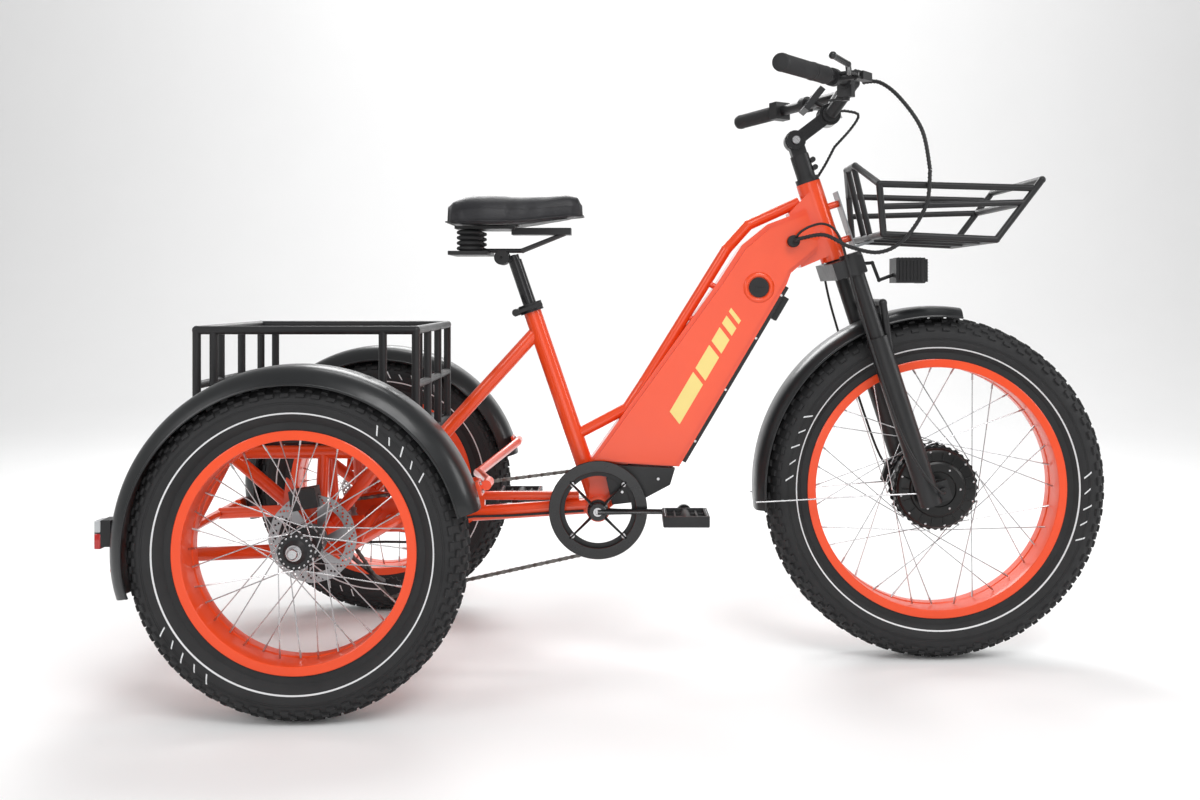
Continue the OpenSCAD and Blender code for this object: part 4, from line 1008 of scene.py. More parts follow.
def bolt_head(r: float, height: float) -> bpy.types.Mesh:
    """Returns a small screw head with a socket; its top looks along X, base at the origin."""
    made = revolved([(0.0, 0.1), (0.0, r), (height * 0.7, r), (height, r * 0.75),
                     (height, r * 0.45), (height * 0.45, r * 0.4), (height * 0.45, 0.1)],
                    (0.0, 0.0, 0.0), 12)
    made.transform(Matrix.Rotation(math.radians(-90.0), 4, "Z"))
    return made


def facing(mesh: bpy.types.Mesh, way: int) -> bpy.types.Mesh:
    """Turns an item whose top looks along X to look along Y, the way given."""
    made = mesh.copy()
    made.transform(Matrix.Rotation(math.radians(90.0 * way), 4, "Z"))
    return made


@dataclass
class HubMotor:
    """The front wheel's motor with its brake rotor, sizes in mm."""

    centre: Point = FRONT_AXLE
    body: str = "front_wheel"
    flange_r: float = 86.0
    rotor_y: float = 47.0

    def build(self) -> None:
        """Makes the case, flanges, screws and rotor."""
        half = [(-48, 6.3), (-48, 18), (-47, 21), (-45.5, 22), (-45.5, 34), (-47.4, 36),
                (-47.4, 51), (-45, 55), (-41, 57), (-40, 60), (-39.6, 71), (-37, 77),
                (-32, 80.5), (-24, 81), (24, 81), (32, 80.5), (37, 77), (40, 70), (40, 26),
                (45.5, 23), (45.5, 6.3)]
        case = [revolved(half, self.centre, 120)]
        for y in (-22.0, 22.0):
            edge = [polar(self.flange_r - 1.6 + 1.5 * math.cos(36 * a), a)
                    for a in (2 * math.pi * k / 288 for k in range(288))]
            case.append(cutout([edge, circle(78, 72)],
                               (self.centre[0], self.centre[1] + y, self.centre[2]), 5.4, 0.8))
        rib = block((-3.0, -0.9, -1.4), (15.0, 1.4, 1.4), 0.5, 1)
        case.append(Nodes.ring(rib, 18, 58.0, -40.3, self.centre, MOTOR))
        piece("front_motor_case", joined(case), MOTOR, self.body, ["front_hub_motor"], 30.0)
        screw = facing(bolt_head(2.3, 1.8), -1)
        screws = [Nodes.ring(screw, 12, 74.0, -38.6, self.centre, STEEL, 0.03),
                  Nodes.ring(screw, 6, 43.5, -47.4, self.centre, STEEL),
                  Nodes.ring(facing(bolt_head(2.0, 1.6), 1), 6, 20.5, self.rotor_y + 1.0,
                             self.centre, STEEL)]
        piece("front_motor_screws", joined(screws), STEEL, self.body)
        rotor = brake_rotor((self.centre[0], self.rotor_y, self.centre[2]))
        piece("front_brake_rotor", rotor, ROTOR_STEEL, self.body)


@dataclass
class RearHub:
    """A rear hub with its half shaft, nut and rotor, sizes in mm."""

    name: str
    body: str
    side: Side
    centre: Point = RIGHT_AXLE

    def build(self) -> None:
        """Makes the hub's pieces, on the right or mirrored to the left."""
        x, y, z = self.centre
        body = [(86, 8.7), (86, 14), (84, 16), (33, 16), (31, 21), (30, 21), (29.5, 30.2),
                (28.6, 31), (25.4, 31), (24.5, 30.2), (23, 23), (15, 17.5), (-15, 17.5),
                (-23, 23), (-24.5, 30.2), (-25.4, 31), (-28.6, 31), (-29.5, 30.2),
                (-30, 21), (-33, 18), (-37.6, 13.8), (-37.6, 8.7)]
        self.show("hub", revolved(body, self.centre, 64), BLACK, [f"{self.name}_hub"])
        hexagon = circle(12.0, 6, phase=0.2)
        steel = [revolved([(332, 0.2), (332, 7.6), (330, 8.4), (-46.5, 8.4), (-48, 7.4),
                           (-48, 0.2)], self.centre, 32),
                 cutout([hexagon, circle(8.5, 24)], (x, y - 42.2, z), 8.6, 1.0)]
        washer = revolved([(-38, 8.6), (-38, 13.6), (-39.4, 13.6), (-39.4, 8.6)],
                          self.centre, 32)
        self.show("axle", joined(steel + [washer]), STEEL)
        rotor_place = (x, y + 80.0, z)
        carrier = revolved([(77, 16.1), (77, 23), (83, 23), (83, 16.1)], self.centre, 48)
        self.show("rotor", joined([brake_rotor(rotor_place), carrier]), ROTOR_STEEL)
        dots = [Nodes.ring(facing(bolt_head(1.9, 1.4), way), 18, 27.3, way * 29.4,
                           self.centre, STEEL, 0.014) for way in (-1, 1)]
        dots.append(Nodes.ring(facing(bolt_head(2.3, 1.8), -1), 6, 21.0, 79.0, self.centre,
                               STEEL))
        self.show("spoke_heads", joined(dots), STEEL)

    def show(self, part: str, mesh: bpy.types.Mesh, finish: Finish,
             stands_for: Sequence[str] = ()) -> None:
        """Makes one of the hub's pieces on its own side."""
        if self.side is Side.LEFT:
            mesh = mirrored(mesh)
        piece(f"{self.name}_{part}_piece", mesh, finish, self.body, stands_for, 30.0)


# ---------- fenders ----------


@dataclass
class Fender:
    """A curved mudguard over a tyre, sizes in mm."""

    name: str
    body: str
    node: str
    centre: Point
    radius: float
    depth: float
    start: float
    end: float
    half: float = 59.0
    wall: float = 2.4
    sections: int = 90

    def section(self, share: float) -> list[tuple[float, float]]:
        """Returns the outline across the fender as (y, radius)."""
        near = min(share, 1.0 - share) * (self.end - self.start) / 9.0
        width = self.half * (1.0 - 0.1 * max(0.0, 1.0 - near) ** 2.2)
        outer, inner = [], []
        for k in range(27):
            u = -1.0 + 2.0 * k / 26
            bow = abs(u) ** 3.4
            drop = self.depth * (0.93 * bow + 0.07 * u * u)
            outer.append((width * u * (1.0 - 0.03 * bow), self.radius - drop))
        for y, r in reversed(outer):
            u = y / width
            inner.append((y * (1.0 - self.wall / width), r - self.wall * (1.0 - 0.6 * u ** 4)))
        return outer + inner

    def build(self) -> None:
        """Makes the shell with rolled edges."""
        rings, edges = [], ([], [])
        for i in range(self.sections + 1):
            share = i / self.sections
            a = math.radians(self.start + (self.end - self.start) * share)
            ring = self.section(share)
            spots = [(self.centre[0] + r * math.cos(a), self.centre[1] + y,
                      self.centre[2] + r * math.sin(a)) for y, r in ring]
            rings.append([tuple(c * MM for c in spot) for spot in spots])
            for edge, k, way in ((edges[0], 0, 1.4), (edges[1], 26, -1.4)):
                spot = spots[k]
                edge.append((spot[0], spot[1] + way, spot[2]))
        parts = [skin(rings)] + [tube(edge, 2.3, 8) for edge in edges]
        piece(f"{self.name}_shell", joined(parts), FENDER, self.body, [self.node], 40.0)


# ---------- drive ----------


@dataclass
class Drive:
    """Chainring, guard, cranks, chain and rear sprocket, sizes in mm."""

    crank: Point = (-82.5, 0.0, 305.0)
    hub: Point = (-591.5, 0.0, 295.0)
    line: float = -45.0
    ring_r: float = 85.0
    sprocket_r: float = 28.0
    pulleys: tuple[tuple[float, float], ...] = ((-593.5, 236.0), (-493.5, 152.0))
    pulley_r: float = 18.0

    @staticmethod
    def toothed(radius: float, teeth: int, depth: float) -> list[tuple[float, float]]:
        """Returns a toothed outline round the pitch radius."""
        outline = []
        for k in range(teeth * 8):
            a = 2 * math.pi * k / (teeth * 8)
            wave = 0.5 + 0.5 * math.cos(teeth * a)
            outline.append(polar(radius - depth + 2 * depth * wave ** 1.6, a))
        return outline

    def build(self) -> None:
        """Makes the drive's pieces."""
        x, _, z = self.crank
        loops = [self.toothed(self.ring_r, 40, 2.4), circle(67.0, 64)]
        ring = cutout(loops, (x, self.line, z), 2.2, 0.3)
        piece("chainring_teeth", ring, BLACK, "crank", ["chainring"])
        guard = revolved([(-54.3, 76.5), (-54.3, 97.0), (-53.0, 98.0), (-51.8, 97.0),
                          (-51.8, 76.5), (-53.0, 75.8)], (x, 0.0, z), 144)
        arms = []
        for k in range(4):
            a = math.radians(45 + 90 * k)
            path = [(x + r * math.cos(a), y, z + r * math.sin(a))
                    for r, y in ((15, -57.0), (40, -56.2), (62, -53.6), (79, -53.0))]
            arms.append(tube(path, [10.0, 8.0, 6.6, 6.2], 12, 0.34))
        boss = revolved([(-60, 5), (-60, 17), (-56, 21), (-48.2, 21), (-48.2, 5)],
                        (x, 0.0, z), 48)
        piece("chain_guard", joined([guard, boss] + arms), GLOSS_BLACK, "crank")
        bolt = facing(bolt_head(4.6, 2.2), -1)
        inner = Nodes.ring(bolt, 4, 72.0, -54.6, (x, 0.0, z), STEEL, 0.125)
        posts = Nodes.ring(block((-3.4, 0.0, -3.4), (3.4, 7.4, 3.4), 1.6, 2), 4, 72.0,
                           -53.4, (x, 0.0, z), STEEL, 0.125)
        piece("chainring_bolts", joined([inner, posts]), STEEL, "crank")
        self.arms()
        self.sprocket()
        self.chain()

    def arms(self) -> None:
        """Makes the two crank arms, their spindle and their end bolts."""
        x, _, z = self.crank
        parts, bright = [], []
        for side, way in ((-1, 1), (1, -1)):
            y = side * 68.5
            path = [(x + way * d, y + side * (0.0 if d > 20 else -2.5), z)
                    for d in (0, 14, 40, 80, 120, 150, 170)]
            parts.append(tube(path, [16.5, 15.6, 13.4, 12.0, 11.6, 12.6, 13.6], 20, 0.42))
            for d, r, h in ((0.0, 17.4, 8.6), (170.0, 14.6, 6.6)):
                parts.append(revolved([(-h, 0.1), (-h, r - 1.4), (-h + 1.4, r), (h - 1.4, r),
                                       (h, r - 1.4), (h, 0.1)],
                                      (x + way * d, y - side * (2.0 if d < 1 else 0.0), z), 40))
            bright.append(revolved([(0.0, 0.1), (0.0, 8.6), (side * 1.2, 8.6),
                                    (side * 1.2, 5.2), (0.4 * side, 4.6), (0.4 * side, 0.1)],
                                   (x, y + side * 6.5, z), 32))
        spindle = revolved([(-62, 0.1), (-62, 8.2), (62, 8.2), (62, 0.1)], self.crank, 32)
        piece("crank_arm_pair", joined(parts + [spindle]), GLOSS_BLACK, "crank",
              ["crank_arms"])
        piece("crank_bolts", joined(bright), STEEL, "crank")

    def sprocket(self) -> None:
        """Makes the rear sprocket on its carrier."""
        x, _, z = self.hub
        teeth = cutout([self.toothed(self.sprocket_r, 14, 2.2), circle(13.0, 32)],
                       (x, self.line, z), 2.2, 0.3)
        carrier = revolved([(-56.6, 9.1), (-56.6, 14.0), (-48, 14.6), (-42, 14.6),
                            (-33.4, 14.0), (-33.4, 9.1)], (x, 0.0, z), 48)
        piece("rear_sprocket", joined([teeth, carrier]), STEEL, "cassette", ["cassette"])
        wheels, plates = [], []
        for px, pz in self.pulleys:
            wheels.append(cutout([self.toothed(self.pulley_r, 11, 2.0), circle(3.0, 16)],
                                 (px, self.line, pz), 3.0, 0.4))
        for y in (self.line - 4.6, self.line + 4.6):
            a, b = (Vector((px, y, pz)) for px, pz in self.pulleys)
            path = [a, a.lerp(b, 0.3) + Vector((-6, 0, -4)), a.lerp(b, 0.7)
                    + Vector((-6, 0, -4)), b]
            plates.append(tube(path, [10.5, 8.5, 8.5, 11.5], 14, 0.1))
        piece("cage_pulleys", joined(wheels), PLASTIC, "derailleur_cage")
        piece("cage_plates", joined(plates), BLACK, "derailleur_cage", ["derailleur_cage"])

    def loop(self) -> list[Vector]:
        """Returns the chain's closed middle line."""
        stops = [(self.crank[0], self.crank[2], self.ring_r, 1),
                 (self.pulleys[1][0], self.pulleys[1][1], self.pulley_r + 3, 1),
                 (self.pulleys[0][0], self.pulleys[0][1], self.pulley_r + 3, -1),
                 (self.hub[0], self.hub[2], self.sprocket_r, 1)]
        ends = []
        for i, (ax, az, ar, aw) in enumerate(stops):
            bx, bz, br, bw = stops[(i + 1) % 4]
            way = Vector((bx - ax, bz - az))
            along = math.atan2(way.y, way.x)
            lean = math.asin((aw * ar - bw * br) / way.length)
            a = along + lean + math.pi / 2
            ends.append(((ax + aw * ar * math.cos(a), az + aw * ar * math.sin(a)),
                         (bx + bw * br * math.cos(a), bz + bw * br * math.sin(a))))
        path: list[Vector] = []
        for i, (cx, cz, r, w) in enumerate(stops):
            start, end = ends[i - 1][1], ends[i][0]
            a0 = math.atan2(start[1] - cz, start[0] - cx)
            a1 = math.atan2(end[1] - cz, end[0] - cx)
            turn = (a1 - a0) * -w % (2 * math.pi) * -w
            steps = max(6, int(abs(turn) * r / 3.0))
            path += [Vector((cx + r * math.cos(a0 + turn * k / steps), self.line,
                             cz + r * math.sin(a0 + turn * k / steps)))
                     for k in range(steps + 1)]
            goal = Vector((ends[i][1][0], self.line, ends[i][1][1]))
            span = (goal - path[-1]).length
            count = max(2, int(span / PITCH))
            base = path[-1].copy()
            path += [base.lerp(goal, k / count) for k in range(1, count)]
        return path

    def chain(self) -> None:
        """Makes the chain of links along its line."""
        path = self.loop()
        base = bpy.data.meshes.new("line")
        base.from_pydata([tuple(p * MM) for p in path],
                         [(i, (i + 1) % len(path)) for i in range(len(path))], [])
        length = sum((path[i] - path[i - 1]).length for i in range(len(path)))
        count = int(length / PITCH) // 2 * 2
        LOG.info("chain: %.0f mm, %d links", length, count)
        links = [self.link(2.1), self.link(3.1)]
        mesh = Nodes.run(path_tree, base, Count=count + 1, First=links[0], Second=links[1],
                         Finish=CHAIN.material())
        bent("chain_links", mesh, CHAIN,
             ["chain"])

    @staticmethod
    def link(out: float) -> bpy.types.Mesh:
        """Returns one link: two waisted plates and a roller; it runs along X."""
        parts = []
        outline = []
        for k in range(28):
            a = 2 * math.pi * k / 28
            c, s = math.cos(a), math.sin(a)
            outline.append((PITCH / 2 * (1 if c > 0 else -1) * (abs(c) > 0.35) + 3.9 * c,
                            3.9 * s * (0.72 if abs(c) < 0.35 else 1.0)))
        for y in (-out, out):
            parts.append(cutout([outline], (0.0, y, 0.0), 0.9, 0.15))
        parts.append(revolved([(-2.6, 0.3), (-2.6, 2.6), (2.6, 2.6), (2.6, 0.3)],
                              (PITCH / 2, 0.0, 0.0), 10))
        return joined(parts)


@dataclass
class Pedals:
    """Two resin pedals with pins, sizes in mm."""

    places: tuple[tuple[str, float, float], ...] = (("right_pedal", 87.5, -128.0),
                                                    ("left_pedal", -252.5, 128.0))
    z: float = 305.0

    def build(self) -> None:
        """Makes both pedals."""
        for name, x, y in self.places:
            side = -1 if y < 0 else 1
            frame_parts = []
            for dy in (-43.0, 43.0):
                frame_parts.append(block((x - 43.5, y + dy - 3, self.z - 10.5),
                                         (x + 43.5, y + dy + 3, self.z + 10.5), 1.6))
            for dx in (-40.0, 40.0):
                frame_parts.append(block((x + dx - 4, y - 43, self.z - 10.5),
                                         (x + dx + 4, y + 43, self.z + 10.5), 1.6))
            for dx in (-21.0, 21.0):
                frame_parts.append(block((x + dx - 2, y - 41, self.z - 7),
                                         (x + dx + 2, y + 41, self.z + 7), 0.8))
            for dy in (-15.0, 15.0):
                frame_parts.append(block((x - 37, y + dy - 2, self.z - 6),
                                         (x + 37, y + dy + 2, self.z + 6), 0.8))
            frame_parts.append(revolved([(-45, 0.1), (-45, 9.4), (-43, 10), (43, 10),
                                         (45, 9.4), (45, 0.1)], (x, y, self.z), 28))
            teeth = []
            for dx in (-40.0, 40.0):
                for k in range(6):
                    ty = y - 36 + 14.4 * k
                    for way in (-1, 1):
                        low = self.z + way * 10.2
                        teeth.append(turned([(0, 0.1), (0, 1.5), (2.1, 1.0), (2.1, 0.1)],
                                            (x + dx, ty, low), (0, 0, way), 8))
            piece(f"{name}_platform", joined(frame_parts), PLASTIC, name, [name])
            axle = turned([(0, 0.1), (0, 4.4), (51, 4.4), (51, 7.4), (57, 7.4), (57, 0.1)],
                          (x, y, self.z), (0, -side, 0), 20)
            piece(f"{name}_pins", joined(teeth + [axle]), STEEL, name)


# ---------- saddle ----------


@dataclass
class Saddle:
    """The padded saddle with its springs, base and post, sizes in mm."""

    pivot: Point = (-278.23, 0.0, 808.76)
    back: float = -106.0
    length: float = 272.0
    half: float = 113.0
    low: float = 62.4
    swell_cap: float = 3.0
    pressure: float = 3.0
    cloth_steps: int = 12

    def half_width(self, share: float) -> float:
        """Returns the pad's half width, from its back at 0 to its nose at 1."""
        stops = [(0.0, 0.66), (0.05, 0.84), (0.14, 0.98), (0.28, 1.0), (0.42, 0.93),
                 (0.56, 0.76), (0.7, 0.58), (0.82, 0.46), (0.92, 0.38), (0.97, 0.31),
                 (1.0, 0.2)]
        return self.half * eased(stops, share)

    def top(self, share: float) -> float:
        """Returns the height of the pad's middle line."""
        stops = [(0.0, 106.0), (0.07, 119.0), (0.2, 126.0), (0.36, 124.5), (0.54, 120.0),
                 (0.72, 121.0), (0.88, 124.0), (0.96, 120.0), (1.0, 106.0)]
        return eased(stops, share)

    def section(self, share: float) -> list[Vector]:
        """Returns the outline across the pad, from its lower right edge over the top."""
        width, top = self.half_width(share), self.top(share)
        x = self.pivot[0] + self.back + 1.0 + (self.length - 2.0) * share
        rise = max(0.0, (share - 0.4) / 0.6)
        low = self.low + 1.4 + 15.0 * rise * rise * (3 - 2 * rise)
        outline = []
        for k in range(41):
            u = -1 + 2 * k / 40
            bow = math.sqrt(max(0.0, 1 - abs(u) ** 2.9))
            crown = 1.0 - 0.05 * math.exp(-(u / 0.16) ** 2) * min(1.0, share * 6)
            y = width * u * (1 - 0.06 * (1 - bow))
            z = low + 17 * (1 - abs(u) ** 8) + (top - low - 17) * bow * crown
            outline.append(Vector((x, y, self.pivot[2] + z)))
        for k in range(1, 20):
            u = 1 - 2 * k / 20
            dip = 4.5 * (1 - u * u)
            outline.append(Vector((x, width * 0.985 * u, self.pivot[2] + low + dip - 0.2)))
        return outline

    def pad(self) -> None:
        """Makes the pad, swelled as a filled cover, with its seam and piping."""
        count = 34
        rings = []
        for i in range(count + 1):
            share = 0.5 - 0.5 * math.cos(math.pi * i / count)
            rings.append([p * MM for p in self.section(share)])
        mesh = skin(rings)
        pad = plain_object("saddle_pad", mesh)
        self.swell(pad)
        finer = pad.modifiers.new("finer", "SUBSURF")
        finer.levels = finer.render_levels = 1
        bpy.context.view_layer.update()
        done = bpy.data.meshes.new_from_object(
            pad.evaluated_get(bpy.context.evaluated_depsgraph_get()))
        bpy.data.objects.remove(pad)
        made = piece("saddle_cushion", done, VINYL, "saddle", ["saddle_cover"], 75.0)
        edge = [self.section(i / 60)[0] + Vector((0, 0.6, 5.0)) for i in range(61)]
        other = [Vector((p.x, -p.y, p.z)) for p in reversed(edge)]
        loop = edge + other
        piece("saddle_piping", tube(loop + [edge[0]], 1.5, 8), VINYL, "saddle", (), 80.0)
        stitches = []
        for i in range(4, 57):
            for side in (-1, 1):
                a = self.section(i / 60)[2 if side < 0 else 38]
                b = self.section((i + 0.55) / 60)[2 if side < 0 else 38]
                stitches.append((a + Vector((0, side * 0.5, 0)), b + Vector((0, side * 0.5, 0))))
        piece("saddle_stitches", Nodes.rods(stitches, 0.45, RUBBER, 6), RUBBER, "saddle")

    def swell(self, pad: bpy.types.Object) -> None:
        """Runs a short cloth simulation that fills the pad, with its swell capped."""
        cap = self.swell_cap * MM
        rest = [v.co.copy() for v in pad.data.vertices]
        cloth = pad.modifiers.new("filled", "CLOTH")
        cloth.settings.use_pressure = True
        cloth.settings.uniform_pressure_force = self.pressure
        cloth.settings.effector_weights.gravity = 0.0
        scene = bpy.context.scene
        for step in range(1, self.cloth_steps + 1):
            scene.frame_set(step)
        dg = bpy.context.evaluated_depsgraph_get()
        shape = pad.evaluated_get(dg).to_mesh()
        moved = [v.co.copy() for v in shape.vertices]
        pad.modifiers.remove(cloth)
        scene.frame_set(1)
        for v, a, b in zip(pad.data.vertices, rest, moved):
            shift = b - a
            if shift.length > cap:
                shift *= cap / shift.length
            v.co = a + shift

    def springs(self) -> None:
        """Makes the ribbed bellows."""
        x, _, z = self.pivot
        profile = [(0.0, 0.1)]
        for k in range(4):
            base = 12.3 + 10.6 * k
            profile += [(base, 19.0), (base + 2.6, 25.0), (base + 5.2, 26.0),
                        (base + 7.8, 25.0), (base + 10.4, 19.0)]
        profile = [(12.3, 0.1)] + profile[1:] + [(profile[-1][0], 0.1)]
        for side in (-1, 1):
            coil = turned(profile, (x - 62.0, side * 36.0, z), (0, 0, 1), 48)
            name = "right" if side < 0 else "left"
            piece(f"saddle_{name}_bellows", coil, RUBBER, "saddle",
                  ["saddle_springs"] if side < 0 else ())

    def build(self) -> None:
        """Makes the saddle's pieces."""
        self.pad()
        self.springs()
        dressed("saddle_base", BLACK, "saddle", 0.4)
        dressed("seat_post", GLOSS_BLACK, "seat_post", 0.5)
        dressed("seat_clamp", BLACK, "frame", 0.6)
        dressed("seat_clamp_lever", BLACK, "seat_clamp_lever", 0.6)


# ---------- frame, baskets and lamps ----------


def seat_frame(origin: Point, x_axis: Point, y_axis: Point, z_axis: Point) -> Matrix:
    """Returns the transform of a local frame whose origin is in mm."""
    made = Matrix((x_axis, y_axis, z_axis)).transposed().to_4x4()
    made.translation = Vector(origin) * MM
    return made


@dataclass
class FrameSet:
    """The painted frame with its graphics, port, covers and baskets, sizes in mm."""

    down_low: Point = (79.5, 0.0, 389.0)
    down_angle: float = 59.4
    face: float = -43.0
    port: Point = (238.7, 0.0, 748.1)
    graphic_rise: float = 58.0

    def on_tube(self, along: float, up: float) -> tuple[float, float]:
        """Returns the (x, z) of a place on the down tube's side."""
        c, s = (f(math.radians(self.down_angle)) for f in (math.cos, math.sin))
        return (self.down_low[0] + along * c - up * s, self.down_low[2] + along * s + up * c)

    def panel(self, a: float, b: float, low: float, high: float,
              slant: float = 0.0) -> list[tuple[float, float]]:
        """Returns a slanted bar's outline on the down tube's side."""
        return [self.on_tube(a, low), self.on_tube(b, low), self.on_tube(b + slant, high),
                self.on_tube(a + slant, high)]

    def graphic(self) -> None:
        """Makes the plain block and bars on both sides of the down tube."""
        up = self.graphic_rise
        shapes, start = [], 74.0
        for length in (92.0, 54.0, 32.0, 18.0, 9.0):
            shapes.append([self.panel(start, start + length, up - 15, up + 15, 12)])
            start += length + 9.0
        for name, y in (("right", self.face), ("left", -self.face)):
            mesh = joined([cutout(loops, (0.0, y, 0.0), 0.7, 0.1) for loops in shapes])
            piece(f"down_tube_{name}_bars", mesh, CREAM, "frame", (), 20.0)

    def build(self) -> None:
        """Makes the frame and everything fixed to it."""
        dressed("main_frame", ORANGE, "frame", 2.2, 30.0)
        dressed("rear_frame", ORANGE, "frame", 0.8, 30.0)
        self.graphic()
        x, _, z = self.port
        rings = [revolved([(y, 20.6), (y + w * 1.4, 21.2), (y + w * 3.2, 23.6),
                           (y + w * 3.4, 26.0), (y + w * 2.4, 29.0), (y, 31.0)],
                          (x, 0.0, z), 72)
                 for y, w in ((self.face, -1), (-self.face, 1))]
        piece("port_ring", joined(rings), ORANGE, "frame", (), 60.0)
        for node, finish, soften in (
                ("battery_pack", PLASTIC, 1.6), ("charge_port_cover", RUBBER, 1.4),
                ("controller_cover", BLACK, 1.2), ("bearings", STEEL, 0.3),
                ("rear_basket", BLACK, 0.6), ("rear_basket_floor", PLASTIC, 0.6),
                ("front_basket", BLACK, 0.6), ("basket_bracket", GREY, 0.6),
                ("rear_calipers", BLACK, 0.8), ("derailleur_body", BLACK, 0.8),
                ("rear_hoses", RUBBER, 0.0), ("fasteners", STEEL, 0.5),
                ("harness_plug", RUBBER, 1.2)):
            dressed(node, finish, "frame", soften)
        grip = [block((-10 + 3.2 * k, -45.2, -1.2), (-8.4 + 3.2 * k, -43.6, 1.2), 0.3, 1)
                for k in range(7)]
        turn = Matrix.Translation(Vector((x, -11.4, z)) * MM)
        piece("port_grip", placed(joined(grip), turn), RUBBER, "frame")
        screws = []
        for along in (60.0, 180.0, 300.0, 400.0):
            px, pz = self.on_tube(along, -2.0)
            screws.append(turned([(0, 0.1), (0, 3.0), (1.4, 2.4), (1.4, 1.2), (0.6, 1.1),
                                  (0.6, 0.1)], (px, -32.4, pz), (0, -1, 0), 14))
        piece("battery_screws", joined(screws), STEEL, "frame")


@dataclass
class Lamps:
    """The headlight and the tail light, sizes in mm."""

    low: Point = (516.1, -30.0, 757.4)
    high: Point = (574.1, 30.0, 807.4)

    def build(self) -> None:
        """Makes the housings, ribs and lenses."""
        dressed("headlight", LAMP_BLACK, "steering", 0.6)
        (x0, y0, z0), (x1, y1, z1) = self.low, self.high
        ribs = []
        for k in range(7):
            x = x0 + 6 + 7.2 * k
            ribs.append(block((x, y0 - 1.6, z0 + 5), (x + 2.4, y0 + 1.0, z1 - 5), 0.7, 1))
            ribs.append(block((x, y1 - 1.0, z0 + 5), (x + 2.4, y1 + 1.6, z1 - 5), 0.7, 1))
            ribs.append(block((x, y0 + 6, z1 - 1.0), (x + 2.4, y1 - 6, z1 + 1.6), 0.7, 1))
        brow = block((x1 - 7, y0 - 0.8, z0 - 0.8), (x1 + 1.0, y1 + 0.8, z1 + 0.8), 1.6)
        piece("headlight_ribs", joined(ribs + [brow]), LAMP_BLACK, "steering")
        lens = turned([(0, 0.1), (0, 18.0), (2.4, 16.0), (3.8, 10.0), (4.2, 0.1)],
                      (x1 + 6.6, 0.0, (z0 + z1) / 2), (1, 0, 0), 56)
        rows = [block((x1 + 6.8, y0 + 5, z0 + 5 + 5.8 * k), (x1 + 7.9, y1 - 5, z0 + 7 + 5.8 * k),
                      0.4, 1) for k in range(7)]
        piece("headlight_lens", joined([lens] + rows), CLEAR_LENS, "steering")
        dressed("tail_light", LAMP_BLACK, "frame", 0.8)
        piece("tail_light_red", block((-941.5, -365.6, 296.6), (-929.8, -334.4, 324.0), 2.2),
              RED_LENS, "frame")
        piece("tail_light_clear", block((-941.4, -365.6, 325.0), (-929.8, -334.4, 345.6), 2.2),
              CLEAR_LENS, "frame")


# ---------- front end ----------


